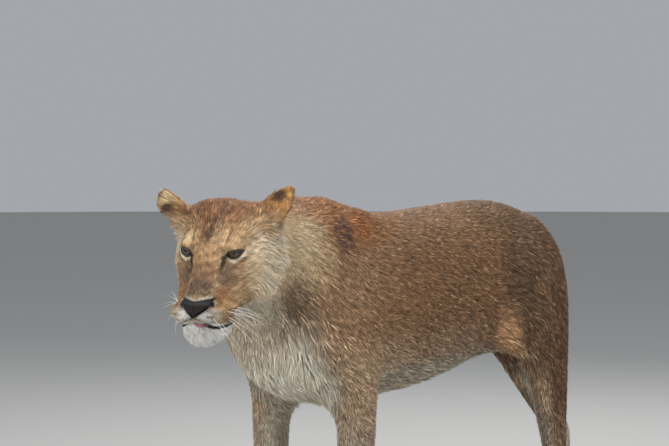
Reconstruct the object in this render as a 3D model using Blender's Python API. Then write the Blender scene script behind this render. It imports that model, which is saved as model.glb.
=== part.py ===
"""A standing lioness, life size, as a still museum model in named parts.

Metres, +X the way she faces, +Y her left, +Z up. Her feet stand on z = 0 and the
origin lies under the middle of her box. The body is modelled whole from muscles,
fused into one skin, and then parted by thin plane cuts into head, neck, trunk, legs and tail.
"""
import math

import bmesh
import bpy
from mathutils import Matrix, Vector

MM = 0.001

# Driving sizes of the animal.
GAP = 0.5 * MM              # between neighbouring parts
CLEARANCE = 0.4 * MM        # around an eye or the tongue in its seat
VOXEL = 4 * MM              # grain at which the muscles are fused
RING_SIDES = 24             # corners of a lofted muscle's section
BODY_TRIANGLES = 3240       # of trunk, neck, legs and tail before they are parted
HEAD_TRIANGLES = 3000
SIDES = {"left": 1, "right": -1}

# The spine bends towards her left: from BEND_FROM back over BEND_LENGTH the heading turns by BEND.
BEND = 8.0
BEND_FROM = 0.15
BEND_LENGTH = 0.50

# Head: its own frame has its origin midway between the eyes, +X to the nose and +Y to her left.
HEAD_AT = Vector((0.8875, 0.2465, 0.8535))
HEAD_YAW = 24.0             # turned to her left, in degrees
HEAD_PITCH = 24.0           # nose down
HEAD_ROLL = -2.5
EYE_AT = Vector((1, 48.5, -1)) * MM
EYE_RADIUS = 19 * MM
EYE_SPLAY = 24.0            # how far each eye looks outward, in degrees

# Trunk sections: x, top of the back, bottom of the belly, half width.
TRUNK = (
    (-0.492, 0.850, 0.690, 0.060),
    (-0.455, 0.905, 0.640, 0.098),
    (-0.390, 0.940, 0.590, 0.128),
    (-0.290, 0.944, 0.550, 0.145),
    (-0.170, 0.933, 0.505, 0.162),
    (-0.010, 0.917, 0.468, 0.182),
    (0.120, 0.917, 0.457, 0.184),
    (0.240, 0.925, 0.456, 0.168),
    (0.345, 0.932, 0.464, 0.146),
    (0.415, 0.918, 0.508, 0.120),
    (0.468, 0.880, 0.600, 0.092),
)

# Neck centreline and its half width and half height.
NECK = (
    ((0.300, 0.000, 0.768), 0.130, 0.176),
    ((0.430, 0.018, 0.790), 0.116, 0.162),
    ((0.545, 0.062, 0.814), 0.106, 0.142),
    ((0.650, 0.118, 0.838), 0.100, 0.122),
    ((0.745, 0.170, 0.860), 0.096, 0.106),
)

# Left foreleg, elbow to pastern: x, y, z, half width across, half width fore and aft.
FORELEG = (
    (0.318, 0.140, 0.580, 0.052, 0.074),
    (0.306, 0.148, 0.515, 0.051, 0.069),
    (0.304, 0.148, 0.430, 0.048, 0.060),
    (0.308, 0.144, 0.330, 0.045, 0.052),
    (0.312, 0.142, 0.240, 0.043, 0.047),
    (0.314, 0.142, 0.190, 0.045, 0.049),
    (0.324, 0.142, 0.125, 0.044, 0.045),
    (0.342, 0.142, 0.070, 0.048, 0.050),
)
FORE_SHIFT = {"left": 0.006, "right": -0.018}

# Hind legs, hip to hock and then down the metatarsus: the left bears, the right trails.
THIGH = {
    "left": (
        (-0.402, 0.082, 0.850, 0.050, 0.080),
        (-0.398, 0.104, 0.790, 0.066, 0.106),
        (-0.388, 0.120, 0.700, 0.072, 0.120),
        (-0.396, 0.130, 0.620, 0.066, 0.112),
        (-0.420, 0.134, 0.540, 0.056, 0.086),
        (-0.434, 0.132, 0.460, 0.047, 0.065),
        (-0.448, 0.128, 0.380, 0.042, 0.054),
        (-0.462, 0.125, 0.310, 0.036, 0.046),
        (-0.468, 0.124, 0.268, 0.034, 0.041),
    ),
    "right": (
        (-0.408, 0.082, 0.850, 0.050, 0.080),
        (-0.415, 0.104, 0.790, 0.066, 0.106),
        (-0.440, 0.116, 0.700, 0.070, 0.116),
        (-0.485, 0.124, 0.630, 0.064, 0.104),
        (-0.545, 0.126, 0.560, 0.056, 0.082),
        (-0.600, 0.124, 0.485, 0.048, 0.064),
        (-0.655, 0.122, 0.405, 0.043, 0.054),
        (-0.705, 0.120, 0.335, 0.037, 0.046),
        (-0.735, 0.118, 0.285, 0.034, 0.041),
    ),
}
METATARSUS = {
    "left": (
        (-0.470, 0.124, 0.270, 0.034, 0.040),
        (-0.458, 0.124, 0.205, 0.034, 0.036),
        (-0.442, 0.124, 0.130, 0.036, 0.035),
        (-0.424, 0.124, 0.065, 0.041, 0.040),
    ),
    "right": (
        (-0.745, 0.118, 0.280, 0.034, 0.040),
        (-0.748, 0.118, 0.210, 0.034, 0.036),
        (-0.744, 0.118, 0.130, 0.036, 0.035),
        (-0.730, 0.118, 0.065, 0.041, 0.040),
    ),
}

# Tail centreline and its radius, root to tip.
TAIL = (
    ((-0.480, 0.000, 0.864), 0.046),
    ((-0.540, 0.000, 0.832), 0.038),
    ((-0.592, -0.008, 0.765), 0.029),
    ((-0.618, -0.020, 0.650), 0.023),
    ((-0.632, -0.034, 0.520), 0.020),
    ((-0.640, -0.046, 0.390), 0.018),
    ((-0.650, -0.054, 0.290), 0.019),
    ((-0.664, -0.060, 0.215), 0.030),
    ((-0.676, -0.062, 0.150), 0.026),
    ((-0.684, -0.062, 0.105), 0.011),
)

COLOURS = {
    "coat": ((0.42, 0.25, 0.13), 0.85),
    "pale": ((0.72, 0.64, 0.52), 0.85),
    "dark": ((0.06, 0.045, 0.04), 0.75),
    "eye": ((0.16, 0.10, 0.03), 0.12),
    "nose": ((0.035, 0.028, 0.028), 0.45),
    "tongue": ((0.55, 0.24, 0.24), 0.40),
}


def clear_scene():
    for obj in list(bpy.data.objects):
        bpy.data.objects.remove(obj)


def material(name):
    """The material of that name, made on first use."""
    found = bpy.data.materials.get(name)
    if found:
        return found
    colour, roughness = COLOURS[name]
    made = bpy.data.materials.new(name)
    made.use_nodes = True
    shader = made.node_tree.nodes["Principled BSDF"]
    shader.inputs["Base Color"].default_value = (*colour, 1)
    shader.inputs["Roughness"].default_value = roughness
    made.diffuse_color = (*colour, 1)
    return made


def head_matrix():
    """The head's frame in the animal's."""
    yaw = Matrix.Rotation(math.radians(HEAD_YAW), 4, "Z")
    pitch = Matrix.Rotation(math.radians(HEAD_PITCH), 4, "Y")
    roll = Matrix.Rotation(math.radians(HEAD_ROLL), 4, "X")
    return Matrix.Translation(HEAD_AT) @ yaw @ pitch @ roll


HEAD = head_matrix()


def spline(values, t):
    """Catmull-Rom through a list of numbers or vectors, with t counted in stations."""
    last = len(values) - 1
    i = min(int(t), last - 1)
    u = t - i
    p0, p1 = values[max(i - 1, 0)], values[i]
    p2, p3 = values[i + 1], values[min(i + 2, last)]
    return 0.5 * (2 * p1 + (p2 - p0) * u + (2 * p0 - 5 * p1 + 4 * p2 - p3) * u ** 2
                  + (3 * p1 - p0 - 3 * p2 + p3) * u ** 3)


def ring_points(centre, across, up, half_width, half_height, power):
    """A section's corners: an ellipse, or squarer where power is above 2."""
    points = []
    for k in range(RING_SIDES):
        a = 2 * math.pi * k / RING_SIDES
        c, s = math.cos(a), math.sin(a)
        x = math.copysign(abs(c) ** (2 / power), c) * half_width
        z = math.copysign(abs(s) ** (2 / power), s) * half_height
        points.append(centre + across * x + up * z)
    return points


def add_loft(bm, centres, half_widths, half_heights, power=2.0, frame=None, side=None, steps=4):
    """Adds a closed muscle through sections along a smooth centreline, with domed ends."""
    side = side or Vector((0, 1, 0))
    spans = len(centres) - 1
    rows = []
    for k in range(spans * steps + 1):
        t = k / steps
        centre = spline(centres, t)
        ahead = spline(centres, min(t + 0.05, spans)) - spline(centres, max(t - 0.05, 0))
        rows.append((centre, ahead.normalized(), spline(half_widths, t), spline(half_heights, t)))
    domed = []
    for out, shrink in ((0.80, 0.60), (0.45, 0.89)):
        centre, ahead, w, h = rows[0]
        domed.append((centre - ahead * min(w, h) * out, ahead, w * shrink, h * shrink))
    domed += rows
    for out, shrink in ((0.45, 0.89), (0.80, 0.60)):
        centre, ahead, w, h = rows[-1]
        domed.append((centre + ahead * min(w, h) * out, ahead, w * shrink, h * shrink))
    rings = []
    for centre, ahead, w, h in domed:
        across = (side - ahead * side.dot(ahead)).normalized()
        up = across.cross(ahead)
        points = ring_points(centre, across, up, w, h, power)
        rings.append([bm.verts.new(frame @ p if frame else p) for p in points])
    for a, b in zip(rings, rings[1:]):
        for k in range(RING_SIDES):
            j = (k + 1) % RING_SIDES
            bm.faces.new((a[k], a[j], b[j], b[k]))
    bm.faces.new(rings[0][::-1])
    bm.faces.new(rings[-1])


def add_ellipsoid(bm, centre, radii, frame=None, turn=(0, 0, 0), subdivisions=3):
    """Adds a muscle that is a stretched ball, turned by degrees about X, Y and Z."""
    spin = Matrix.Identity(4)
    for axis, angle in zip("XYZ", turn):
        spin = Matrix.Rotation(math.radians(angle), 4, axis) @ spin
    place = Matrix.Translation(Vector(centre)) @ spin @ Matrix.Diagonal((*radii, 1))
    if frame:
        place = frame @ place
    bmesh.ops.create_icosphere(bm, subdivisions=subdivisions, radius=1, matrix=place)


def add_trunk(bm):
    centres = [Vector((x, 0, (top + bottom) / 2)) for x, top, bottom, _ in TRUNK]
    widths = [w for *_, w in TRUNK]
    heights = [(top - bottom) / 2 for _, top, bottom, _ in TRUNK]
    add_loft(bm, centres, widths, heights, power=2.25)


def add_neck(bm):
    add_loft(bm, [Vector(c) for c, _, _ in NECK], [w for _, w, _ in NECK],
             [h for *_, h in NECK], power=2.1)
    add_ellipsoid(bm, (0.425, 0.010, 0.640), (0.075, 0.100, 0.150), turn=(0, 20, 0))


def add_limb(bm, stations, side, shift=0.0, power=2.1):
    """A leg's length of muscle on its side."""
    s = SIDES[side]
    add_loft(bm, [Vector((x + shift, s * y, z)) for x, y, z, _, _ in stations],
             [w for *_, w, _ in stations], [d for *_, d in stations], power)


def add_paw(bm, x, y, length, width, height):
    """A foot with four toes and a heel pad. x is the middle of the foot."""
    add_ellipsoid(bm, (x - 0.16 * length, y, 0.42 * height), (0.42 * length, 0.46 * width, 0.54 * height))
    for k in range(4):
        across = (k - 1.5) / 1.5
        toe_x = x + length * (0.30 - 0.10 * across ** 2)
        toe_y = y + 0.35 * width * across
        add_ellipsoid(bm, (toe_x, toe_y, 0.34 * height),
                      (0.25 * length, 0.165 * width, 0.44 * height), turn=(0, 12, 7 * across))


def add_foreleg(bm, side):
    s, shift = SIDES[side], FORE_SHIFT[side]
    blade = [Vector(p) for p in ((0.312, s * 0.052, 0.938), (0.335, s * 0.082, 0.880),
                                 (0.372, s * 0.108, 0.790), (0.408, s * 0.118, 0.700),
                                 (0.422, s * 0.120, 0.650))]
    add_loft(bm, blade, [0.030, 0.038, 0.044, 0.044, 0.042], [0.058, 0.085, 0.098, 0.092, 0.076])
    add_ellipsoid(bm, (0.255, s * 0.082, 0.885), (0.095, 0.045, 0.050), turn=(0, 12, 0))
    arm = [Vector(p) for p in ((0.412, s * 0.120, 0.650), (0.368, s * 0.132, 0.598),
                               (0.318, s * 0.142, 0.550))]
    add_loft(bm, arm, [0.048, 0.052, 0.050], [0.070, 0.074, 0.070])
    add_ellipsoid(bm, (0.318, s * 0.126, 0.670), (0.100, 0.052, 0.130), turn=(0, -20, 0))
    add_limb(bm, FORELEG, side, shift)
    add_ellipsoid(bm, (0.268 + shift, s * 0.150, 0.540), (0.028, 0.028, 0.042))


def add_hindleg(bm, side):
    s = SIDES[side]
    add_limb(bm, THIGH[side], side)
    add_limb(bm, METATARSUS[side], side)
    rump_x = -0.442 if side == "left" else -0.458
    add_ellipsoid(bm, (rump_x, s * 0.088, 0.730), (0.076, 0.062, 0.135), turn=(0, -4, 0))
    x, y, z = METATARSUS[side][0][:3]
    add_ellipsoid(bm, (x - 0.026, s * y, z + 0.012), (0.022, 0.021, 0.030))


def add_flank(bm, side):
    """The fold of loose skin from the belly to the knee."""
    x = -0.300 if side == "left" else -0.340
    add_ellipsoid(bm, (x, SIDES[side] * 0.104, 0.610), (0.085, 0.034, 0.072), turn=(0, 30, 0))


def head_tools(bm):
    """ball and pair: one muscle on the midline, or one each side, in millimetres in the head's frame."""
    def ball(centre, radii, turn=(0, 0, 0)):
        add_ellipsoid(bm, Vector(centre) * MM, Vector(radii) * MM, HEAD, turn)

    def pair(centre, radii, turn=(0, 0, 0)):
        x, y, z = centre
        ball((x, y, z), radii, turn)
        ball((x, -y, z), radii, (-turn[0], turn[1], -turn[2]))

    return ball, pair


def add_skull(bm):
    """Cranium, cheeks, ruff and the root of the muzzle."""
    ball, pair = head_tools(bm)
    ball((-82, 0, -2), (90, 76, 78))
    pair((-86, 42, 30), (50, 44, 42))
    ball((-30, 0, 10), (50, 58, 43))
    pair((-34, 58, -38), (64, 42, 52))
    pair((-30, 54, -84), (60, 42, 46))
    ball((34, 0, -66), (64, 56, 46))
    pair((34, 44, -92), (50, 34, 38))
    ball((18, 0, -130), (76, 48, 34))
    ball((-60, 72, -102), (52, 40, 44))
    ball((-92, 88, -48), (50, 44, 62))
    ball((-60, -66, -98), (50, 38, 42))
    ball((-92, -78, -44), (50, 38, 60))


def add_face(bm):
    """Muzzle, whisker pads, chin, brows and eyelids."""
    ball, pair = head_tools(bm)
    muzzle = ((-20, 52, 40, -100), (6, 46, 31, -108), (30, 38, 8, -110), (50, 36, -10, -112),
              (70, 36, -25, -114), (90, 37, -38, -112), (102, 37, -48, -108), (111, 34, -56, -100))
    add_loft(bm, [Vector((x, 0, (t + b) / 2)) * MM for x, _, t, b in muzzle],
             [w * MM for _, w, _, _ in muzzle], [(t - b) / 2 * MM for *_, t, b in muzzle],
             power=2.5, frame=HEAD)
    pair((84, 31, -98), (39, 34, 32))
    pair((56, 42, -106), (40, 27, 29))
    pair((-8, 42, 14), (30, 32, 18), (0, 14, 14))
    pair((1, 48, -1), (22, 22, 22))
    ball((80, -3, -150), (36, 50, 40))
    ball((84, -2, -130), (30, 44, 22))
    pair((44, 30, -142), (52, 24, 26))
    ball((28, 0, -146), (62, 44, 26))
    ball((-98, 96, 22), (36, 32, 44), (0, 0, 20))


def add_ear(bm, base, tip, opening, width, depth):
    """A rounded cup of even thickness. All its lengths are in millimetres in the head's frame."""
    base, tip = Vector(base), Vector(tip)
    axis = tip - base
    along = axis.normalized()
    facing = Vector(opening)
    facing = (facing - along * facing.dot(along)).normalized()
    across = along.cross(facing)
    rows, columns, thick = 12, 12, 6.0
    sheets = []
    for offset in (thick, -thick):
        grid = []
        for i in range(rows + 1):
            u = math.sin(math.pi / 2 * i / rows)
            half = width * (0.80 + 0.26 * math.sin(math.pi * min(u / 0.9, 1))) * max(1 - u ** 4, 0.01) ** 0.5
            hollow = depth * (1.15 - 0.7 * u)
            row = []
            for j in range(columns + 1):
                v = 2 * j / columns - 1
                normal = (facing - across * (2 * hollow * v / max(half, 10))).normalized()
                p = base + axis * u + across * (v * half) + facing * (hollow * v * v + 6 * u * u)
                row.append(bm.verts.new(HEAD @ ((p + normal * offset) * MM)))
            grid.append(row)
        sheets.append(grid)
    front, back = sheets
    for i in range(rows):
        for j in range(columns):
            bm.faces.new((front[i][j], front[i][j + 1], front[i + 1][j + 1], front[i + 1][j]))
            bm.faces.new((back[i][j], back[i + 1][j], back[i + 1][j + 1], back[i][j + 1]))
    rim = ([(i, 0) for i in range(rows)] + [(rows, j) for j in range(columns)]
           + [(i, columns) for i in range(rows, 0, -1)] + [(0, j) for j in range(columns, 0, -1)])
    for (i, j), (k, m) in zip(rim, rim[1:] + rim[:1]):
        bm.faces.new((front[i][j], front[k][m], back[k][m], back[i][j]))


def fused(name, build_pieces, voxel, onto=None):
    """The pieces, with an earlier skin if there is one, as one closed skin."""
    bm = bmesh.new()
    build_pieces(bm)
    if onto:
        bm.from_mesh(onto.data)
        bpy.data.objects.remove(onto)
    mesh = bpy.data.meshes.new(name)
    bm.to_mesh(mesh)
    bm.free()
    obj = bpy.data.objects.new(name, mesh)
    bpy.context.scene.collection.objects.link(obj)
    return remeshed(obj, voxel)


def remeshed(obj, voxel):
    remesh = obj.modifiers.new("Fuse", "REMESH")
    remesh.mode = "VOXEL"
    remesh.voxel_size = voxel
    remesh.adaptivity = 0
    return bake_modifiers(obj)


def filled(obj, reach, voxel):
    """Fills the creases between muscles: out by reach, made one again, and back in."""
    for way in (1, -1):
        swell = obj.modifiers.new("Swell", "DISPLACE")
        swell.mid_level = 0
        swell.strength = way * reach
        obj = remeshed(obj, voxel)
        obj = soften(obj, 4)
    return obj


def bake_modifiers(obj):
    """The object with its modifiers made real."""
    graph = bpy.context.evaluated_depsgraph_get()
    mesh = bpy.data.meshes.new_from_object(obj.evaluated_get(graph))
    obj.modifiers.clear()
    obj.data = mesh
    return obj


def soften(obj, rounds, weight=None):
    """Smooths the skin, by weight(world point) from 0 to 1 where that is given."""
    smooth = obj.modifiers.new("Soften", "SMOOTH")
    smooth.factor = 0.5
    smooth.iterations = rounds
    if weight:
        group = obj.vertex_groups.new(name="soft")
        for v in obj.data.vertices:
            group.add((v.index,), weight(v.co), "REPLACE")
        smooth.vertex_group = "soft"
    return bake_modifiers(obj)


def bent(p):
    """Where a point of the straight animal goes once her spine bends."""
    if p.x >= BEND_FROM:
        return p
    steps = 24
    run = (BEND_FROM - p.x) / steps
    x, y, heading = BEND_FROM, 0.0, 0.0
    for k in range(steps):
        u = min((k + 0.5) * run / BEND_LENGTH, 1.0)
        heading = -math.radians(BEND) * (3 * u * u - 2 * u ** 3)
        x -= run * math.cos(heading)
        y -= run * math.sin(heading)
    return Vector((x - p.y * math.sin(heading), y + p.y * math.cos(heading), p.z))


def trunk_and_legs(bm):
    add_trunk(bm)
    add_neck(bm)
    for side in SIDES:
        add_foreleg(bm, side)
        add_hindleg(bm, side)
        add_flank(bm, side)
    root = TAIL[:3]
    add_loft(bm, [Vector(c) for c, _ in root], [r for _, r in root], [r for _, r in root])
    for v in bm.verts:
        v.co = bent(v.co)


def ears_paws_tail(bm):
    for side, s in SIDES.items():
        add_paw(bm, 0.372 + FORE_SHIFT[side], s * 0.142, 0.160, 0.118, 0.080)
        toe_x, toe_y = METATARSUS[side][-1][:2]
        add_paw(bm, toe_x + 0.045, s * toe_y, 0.152, 0.106, 0.074)
    add_loft(bm, [Vector(c) for c, _ in TAIL], [r for _, r in TAIL], [r for _, r in TAIL])
    for v in bm.verts:
        v.co = bent(v.co)
    add_ear(bm, (-70, -66, 22), (-80, -123, 103), (0.78, -0.55, 0.25), 38, 24)
    add_ear(bm, (-76, 68, 26), (-122, 147, 98), (-0.60, 0.15, -0.75), 38, 20)


def in_head(x, y, z):
    return HEAD @ (Vector((x, y, z)) * MM)


def head_way(x, y, z):
    return (HEAD.to_3x3() @ Vector((x, y, z))).normalized()


# Where the skin is parted: a point of the plane, its outward normal and how far round it the cut reaches.
HEAD_CUT = (in_head(-112, 0, -40), head_way(0.973, 0, 0.232), 0.26)


def head_cuts():
    return [
        (in_head(60, 0, -140), head_way(0.442, 0, -0.897), 0.110),
        (in_head(-74.5, -92, 60), head_way(-0.10, -0.573, 0.814), 0.060),
        (in_head(-96, 103, 58), head_way(-0.396, 0.68, 0.62), 0.060),
    ]


def body_cuts():
    found = [
        (Vector((0.475, 0.02, 0.765)), Vector((0.949, 0, 0.316)), 0.24),
        (bent(Vector((-0.607, -0.014, 0.700))), Vector((-0.22, 0, -0.975)).normalized(), 0.080),
        (bent(Vector((-0.652, -0.055, 0.272))), Vector((-0.10, 0, -1.0)).normalized(), 0.040),
        (bent(Vector((-0.430, 0.133, 0.490))), Vector((-0.12, 0, -0.99)).normalized(), 0.130),
        (bent(Vector((-0.597, -0.125, 0.490))), Vector((-0.55, 0, -0.83)).normalized(), 0.120),
    ]
    for side, s in SIDES.items():
        x = 0.305 + FORE_SHIFT[side]
        found.append((Vector((x, s * 0.148, 0.425)), Vector((0, 0, -1)), 0.125))
        found.append((Vector((x + 0.030, s * 0.142, 0.092)), Vector((0, 0, -1)), 0.075))
        x, y = METATARSUS[side][-1][:2]
        found.append((bent(Vector((x - 0.005, s * y, 0.085))), Vector((0, 0, -1)), 0.060))
    return found


# A point inside each part of the skin, by which it gets its name.
def places():
    found = {
        "head": in_head(-40, 0, -20), "jaw": in_head(70, 0, -155),
        "ear_right": in_head(-78, -110, 85), "ear_left": in_head(-112, 130, 82),
        "neck": Vector((0.62, 0.09, 0.80)), "trunk": Vector((0.0, 0.0, 0.70)),
        "tail": bent(Vector((-0.635, -0.036, 0.50))), "tail_tuft": bent(Vector((-0.670, -0.062, 0.18))),
        "hindleg_left": bent(Vector((-0.447, 0.128, 0.38))),
        "hindleg_right": bent(Vector((-0.680, -0.121, 0.37))),
    }
    for side, s in SIDES.items():
        x = 0.305 + FORE_SHIFT[side]
        found["foreleg_" + side] = Vector((x, s * 0.145, 0.27))
        found["paw_front_" + side] = Vector((x + 0.06, s * 0.142, 0.04))
        x, y = METATARSUS[side][-1][:2]
        found["paw_hind_" + side] = bent(Vector((x + 0.04, s * y, 0.04)))
    return found


def linked(faces):
    """The faces sorted into patches that hang together."""
    free, patches = set(faces), []
    while free:
        seed = free.pop()
        patch, edge = {seed}, [seed]
        while edge:
            for e in edge.pop().edges:
                for f in e.link_faces:
                    if f in free:
                        free.discard(f)
                        patch.add(f)
                        edge.append(f)
        patches.append(patch)
    return patches


def across(faces, centre, outward):
    """Those of the faces that reach into the thin slice round the plane."""
    found = []
    for f in faces:
        heights = [(v.co - centre).dot(outward) for v in f.verts]
        if min(heights) < 0.49 * GAP and max(heights) > -0.49 * GAP:
            found.append(f)
    return found


def part_at(bm, centre, outward, reach):
    """Takes a thin slice out of the limb at that place and closes both sides of it."""
    near = [f for f in bm.faces if min((v.co - centre).length for v in f.verts) < reach]
    rings = linked(across(near, centre, outward))
    ring = min(rings, key=lambda faces: (sum((f.calc_center_median() for f in faces), Vector()) / len(faces)
                                         - centre).length)
    geometry = list(ring)
    for side in (0.5, -0.5):
        whole = set(geometry)
        for f in geometry:
            if isinstance(f, bmesh.types.BMFace):
                whole.update(f.edges)
                whole.update(f.verts)
        geometry = bmesh.ops.bisect_plane(bm, geom=list(whole), dist=1e-7, plane_no=outward,
                                          plane_co=centre + outward * (GAP * side))["geom"]
    cut = [f for f in geometry if isinstance(f, bmesh.types.BMFace)]
    slice_ = [f for f in cut if max(abs((v.co - centre).dot(outward)) for v in f.verts) < 0.51 * GAP]
    bmesh.ops.delete(bm, geom=slice_, context="FACES")
    bmesh.ops.holes_fill(bm, edges=[e for e in bm.edges if e.is_boundary], sides=0)


def trim(bm, point, outward):
    """Cuts everything beyond a plane away and closes what is left."""
    everything = bm.verts[:] + bm.edges[:] + bm.faces[:]
    bmesh.ops.bisect_plane(bm, geom=everything, dist=1e-7, plane_co=point, plane_no=outward, clear_outer=True)
    bmesh.ops.holes_fill(bm, edges=[e for e in bm.edges if e.is_boundary], sides=0)


def object_of(name, faces):
    index = {v: i for i, v in enumerate({v for f in faces for v in f.verts})}
    mesh = bpy.data.meshes.new(name)
    mesh.from_pydata([v.co for v in index], [], [[index[v] for v in f.verts] for f in faces])
    obj = bpy.data.objects.new(name, mesh)
    bpy.context.scene.collection.objects.link(obj)
    return obj


def simpler(obj, triangles):
    """The skin with fewer triangles."""
    obj.data.calc_loop_triangles()
    fewer = obj.modifiers.new("Simpler", "DECIMATE")
    fewer.ratio = triangles / len(obj.data.loop_triangles)
    return bake_modifiers(obj)


def parted(obj):
    """The skin as separate closed parts, each named by the place it holds."""
    bm = bmesh.new()
    bm.from_mesh(obj.data)
    bpy.data.objects.remove(obj)
    centre, outward, reach = HEAD_CUT
    part_at(bm, centre, outward, reach)
    halves = sorted(linked(bm.faces), key=len, reverse=True)[:2]
    halves.sort(key=lambda faces: max(v.co.x for f in faces for v in f.verts))
    made = {}
    for faces, triangles, side, cuts in ((halves[0], BODY_TRIANGLES, -1, body_cuts()),
                                         (halves[1], HEAD_TRIANGLES, 1, head_cuts())):
        half = simpler(object_of("half", faces), triangles)
        piece = bmesh.new()
        piece.from_mesh(half.data)
        bpy.data.objects.remove(half)
        trim(piece, centre + outward * (side * 0.55 * GAP), outward * -side)
        trim(piece, Vector((0, 0, 0)), Vector((0, 0, -1)))
        for cut in cuts:
            part_at(piece, *cut)
        bmesh.ops.triangulate(piece, faces=piece.faces[:])
        for patch in linked(piece.faces):
            area = sum(f.calc_area() for f in patch)
            middle = sum((f.calc_center_median() * f.calc_area() for f in patch), Vector()) / area
            name = min(places().items(), key=lambda item: (item[1] - middle).length)[0]
            made[name] = object_of(name, patch)
        piece.free()
    bm.free()
    return made


def ball_object(name, centre, radii, turn, grow=0.0, subdivisions=2):
    """A stretched ball in the head, grown by so many metres all round."""
    bm = bmesh.new()
    add_ellipsoid(bm, Vector(centre), Vector(radii) + Vector((grow, grow, grow)), HEAD, turn, subdivisions)
    mesh = bpy.data.meshes.new(name)
    bm.to_mesh(mesh)
    bm.free()
    obj = bpy.data.objects.new(name, mesh)
    bpy.context.scene.collection.objects.link(obj)
    return obj


def carve(target, cutter):
    """Takes the cutter's shape out of the target."""
    boolean = target.modifiers.new("Carve", "BOOLEAN")
    boolean.operation = "DIFFERENCE"
    boolean.solver = "EXACT"
    boolean.object = cutter
    bake_modifiers(target)


def seat_eyes(head):
    eyes = {}
    for side, s in SIDES.items():
        centre = Vector((EYE_AT.x, s * EYE_AT.y, EYE_AT.z))
        gaze = s * EYE_SPLAY
        eyes["eye_" + side] = ball_object("eye_" + side, centre, [EYE_RADIUS] * 3, (0, 0, gaze))
        socket = ball_object("socket", centre, [EYE_RADIUS] * 3, (0, 0, gaze), CLEARANCE)
        ahead = Matrix.Rotation(math.radians(gaze), 3, "Z") @ Vector((34 * MM, 0, 0))
        lids = ball_object("lids", centre + ahead, Vector((32, 20, 8.5)) * MM, (s * 12, 0, gaze))
        for cutter in (socket, lids):
            carve(head, cutter)
            bpy.data.objects.remove(cutter)
    return eyes


# Corners of the nose pad on her left, from which it is rounded: x, y, z in the head's frame.
NOSE = ((96, 24, -58), (108, 35, -61), (114, 35, -69), (119, 16, -55), (125, 31, -61),
        (129, 14, -61), (126, 18, -82), (121, 8, -95), (96, 20, -84), (88, 20, -66))
NOSE_MIDDLE = ((119, 0, -55), (130, 0, -63), (129, 0, -92), (88, 0, -64))


def nose_object(name, grow=0.0):
    bm = bmesh.new()
    for x, y, z in NOSE:
        bm.verts.new(in_head(x, y, z))
        bm.verts.new(in_head(x, -y, z))
    for x, y, z in NOSE_MIDDLE:
        bm.verts.new(in_head(x, y, z))
    hull = bmesh.ops.convex_hull(bm, input=bm.verts[:])
    bmesh.ops.delete(bm, geom=hull["geom_interior"], context="VERTS")
    bmesh.ops.subdivide_edges(bm, edges=bm.edges[:], cuts=1, use_grid_fill=True)
    for _ in range(2):
        bmesh.ops.smooth_vert(bm, verts=bm.verts[:], factor=0.5, use_axis_x=True, use_axis_y=True, use_axis_z=True)
    bmesh.ops.triangulate(bm, faces=bm.faces[:])
    bmesh.ops.recalc_face_normals(bm, faces=bm.faces[:])
    bm.normal_update()
    moves = [(v, v.co + v.normal * grow) for v in bm.verts]
    for v, place in moves:
        v.co = place
    obj = object_of(name, bm.faces[:])
    bm.free()
    return obj


def seat_nose(head):
    seat = nose_object("seat", CLEARANCE)
    carve(head, seat)
    bpy.data.objects.remove(seat)
    return {"nose": nose_object("nose")}


def seat_tongue(head, jaw):
    shape = (Vector((101, -1, -112)) * MM, Vector((27, 17, 7)) * MM, (0, 22, 0))
    seat = ball_object("seat", *shape, CLEARANCE)
    carve(head, seat)
    carve(jaw, seat)
    bpy.data.objects.remove(seat)
    return {"tongue": ball_object("tongue", *shape)}


PALE = {"jaw", "paw_front_left", "paw_front_right", "paw_hind_left", "paw_hind_right"}
DARK = {"tail_tuft"}


def colour_of(name):
    if name.startswith("eye"):
        return "eye"
    if name in ("nose", "tongue"):
        return name
    return "pale" if name in PALE else "dark" if name in DARK else "coat"


def settle(parts):
    """Moves everything so that the origin is on the floor under the middle of the whole."""
    places = [v.co for obj in parts.values() for v in obj.data.vertices]
    low = [min(p[k] for p in places) for k in range(3)]
    high = [max(p[k] for p in places) for k in range(3)]
    shift = Vector(((low[0] + high[0]) / 2, (low[1] + high[1]) / 2, low[2]))
    for obj in parts.values():
        obj.data.transform(Matrix.Translation(-shift))


def main():
    clear_scene()
    body = fused("body", trunk_and_legs, 1.5 * VOXEL)
    body = filled(body, 45 * MM, 2 * VOXEL)
    body = soften(body, 12)
    body = fused("body", add_skull, 1.5 * VOXEL, body)
    body = filled(body, 26 * MM, 1.5 * VOXEL)
    body = fused("body", add_face, VOXEL, body)
    body = filled(body, 9 * MM, VOXEL)
    body = fused("body", ears_paws_tail, VOXEL, body)
    body = soften(body, 6)
    parts = parted(body)
    parts.update(seat_eyes(parts["head"]))
    parts.update(seat_nose(parts["head"]))
    parts.update(seat_tongue(parts["head"], parts["jaw"]))
    settle(parts)
    for name, obj in parts.items():
        obj.data.materials.clear()
        obj.data.materials.append(material(colour_of(name)))


if __name__ == "__main__":
    main()
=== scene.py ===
# %% [markdown]
# # A lioness, life size
# A museum model of a lioness is flesh under a coat. The frame gives her solids out to the tips of the fur.
# Here one seamless skin is made from them and drawn in by the depth of the coat. Then her eyes, nose, lips and
# whiskers are modelled, and the coat is laid over the skin in small solid tufts that follow its lie.

# %% The frame
import math

import bmesh
import bpy
import numpy as np
from mathutils import Matrix, Vector
from mathutils.bvhtree import BVHTree


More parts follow.
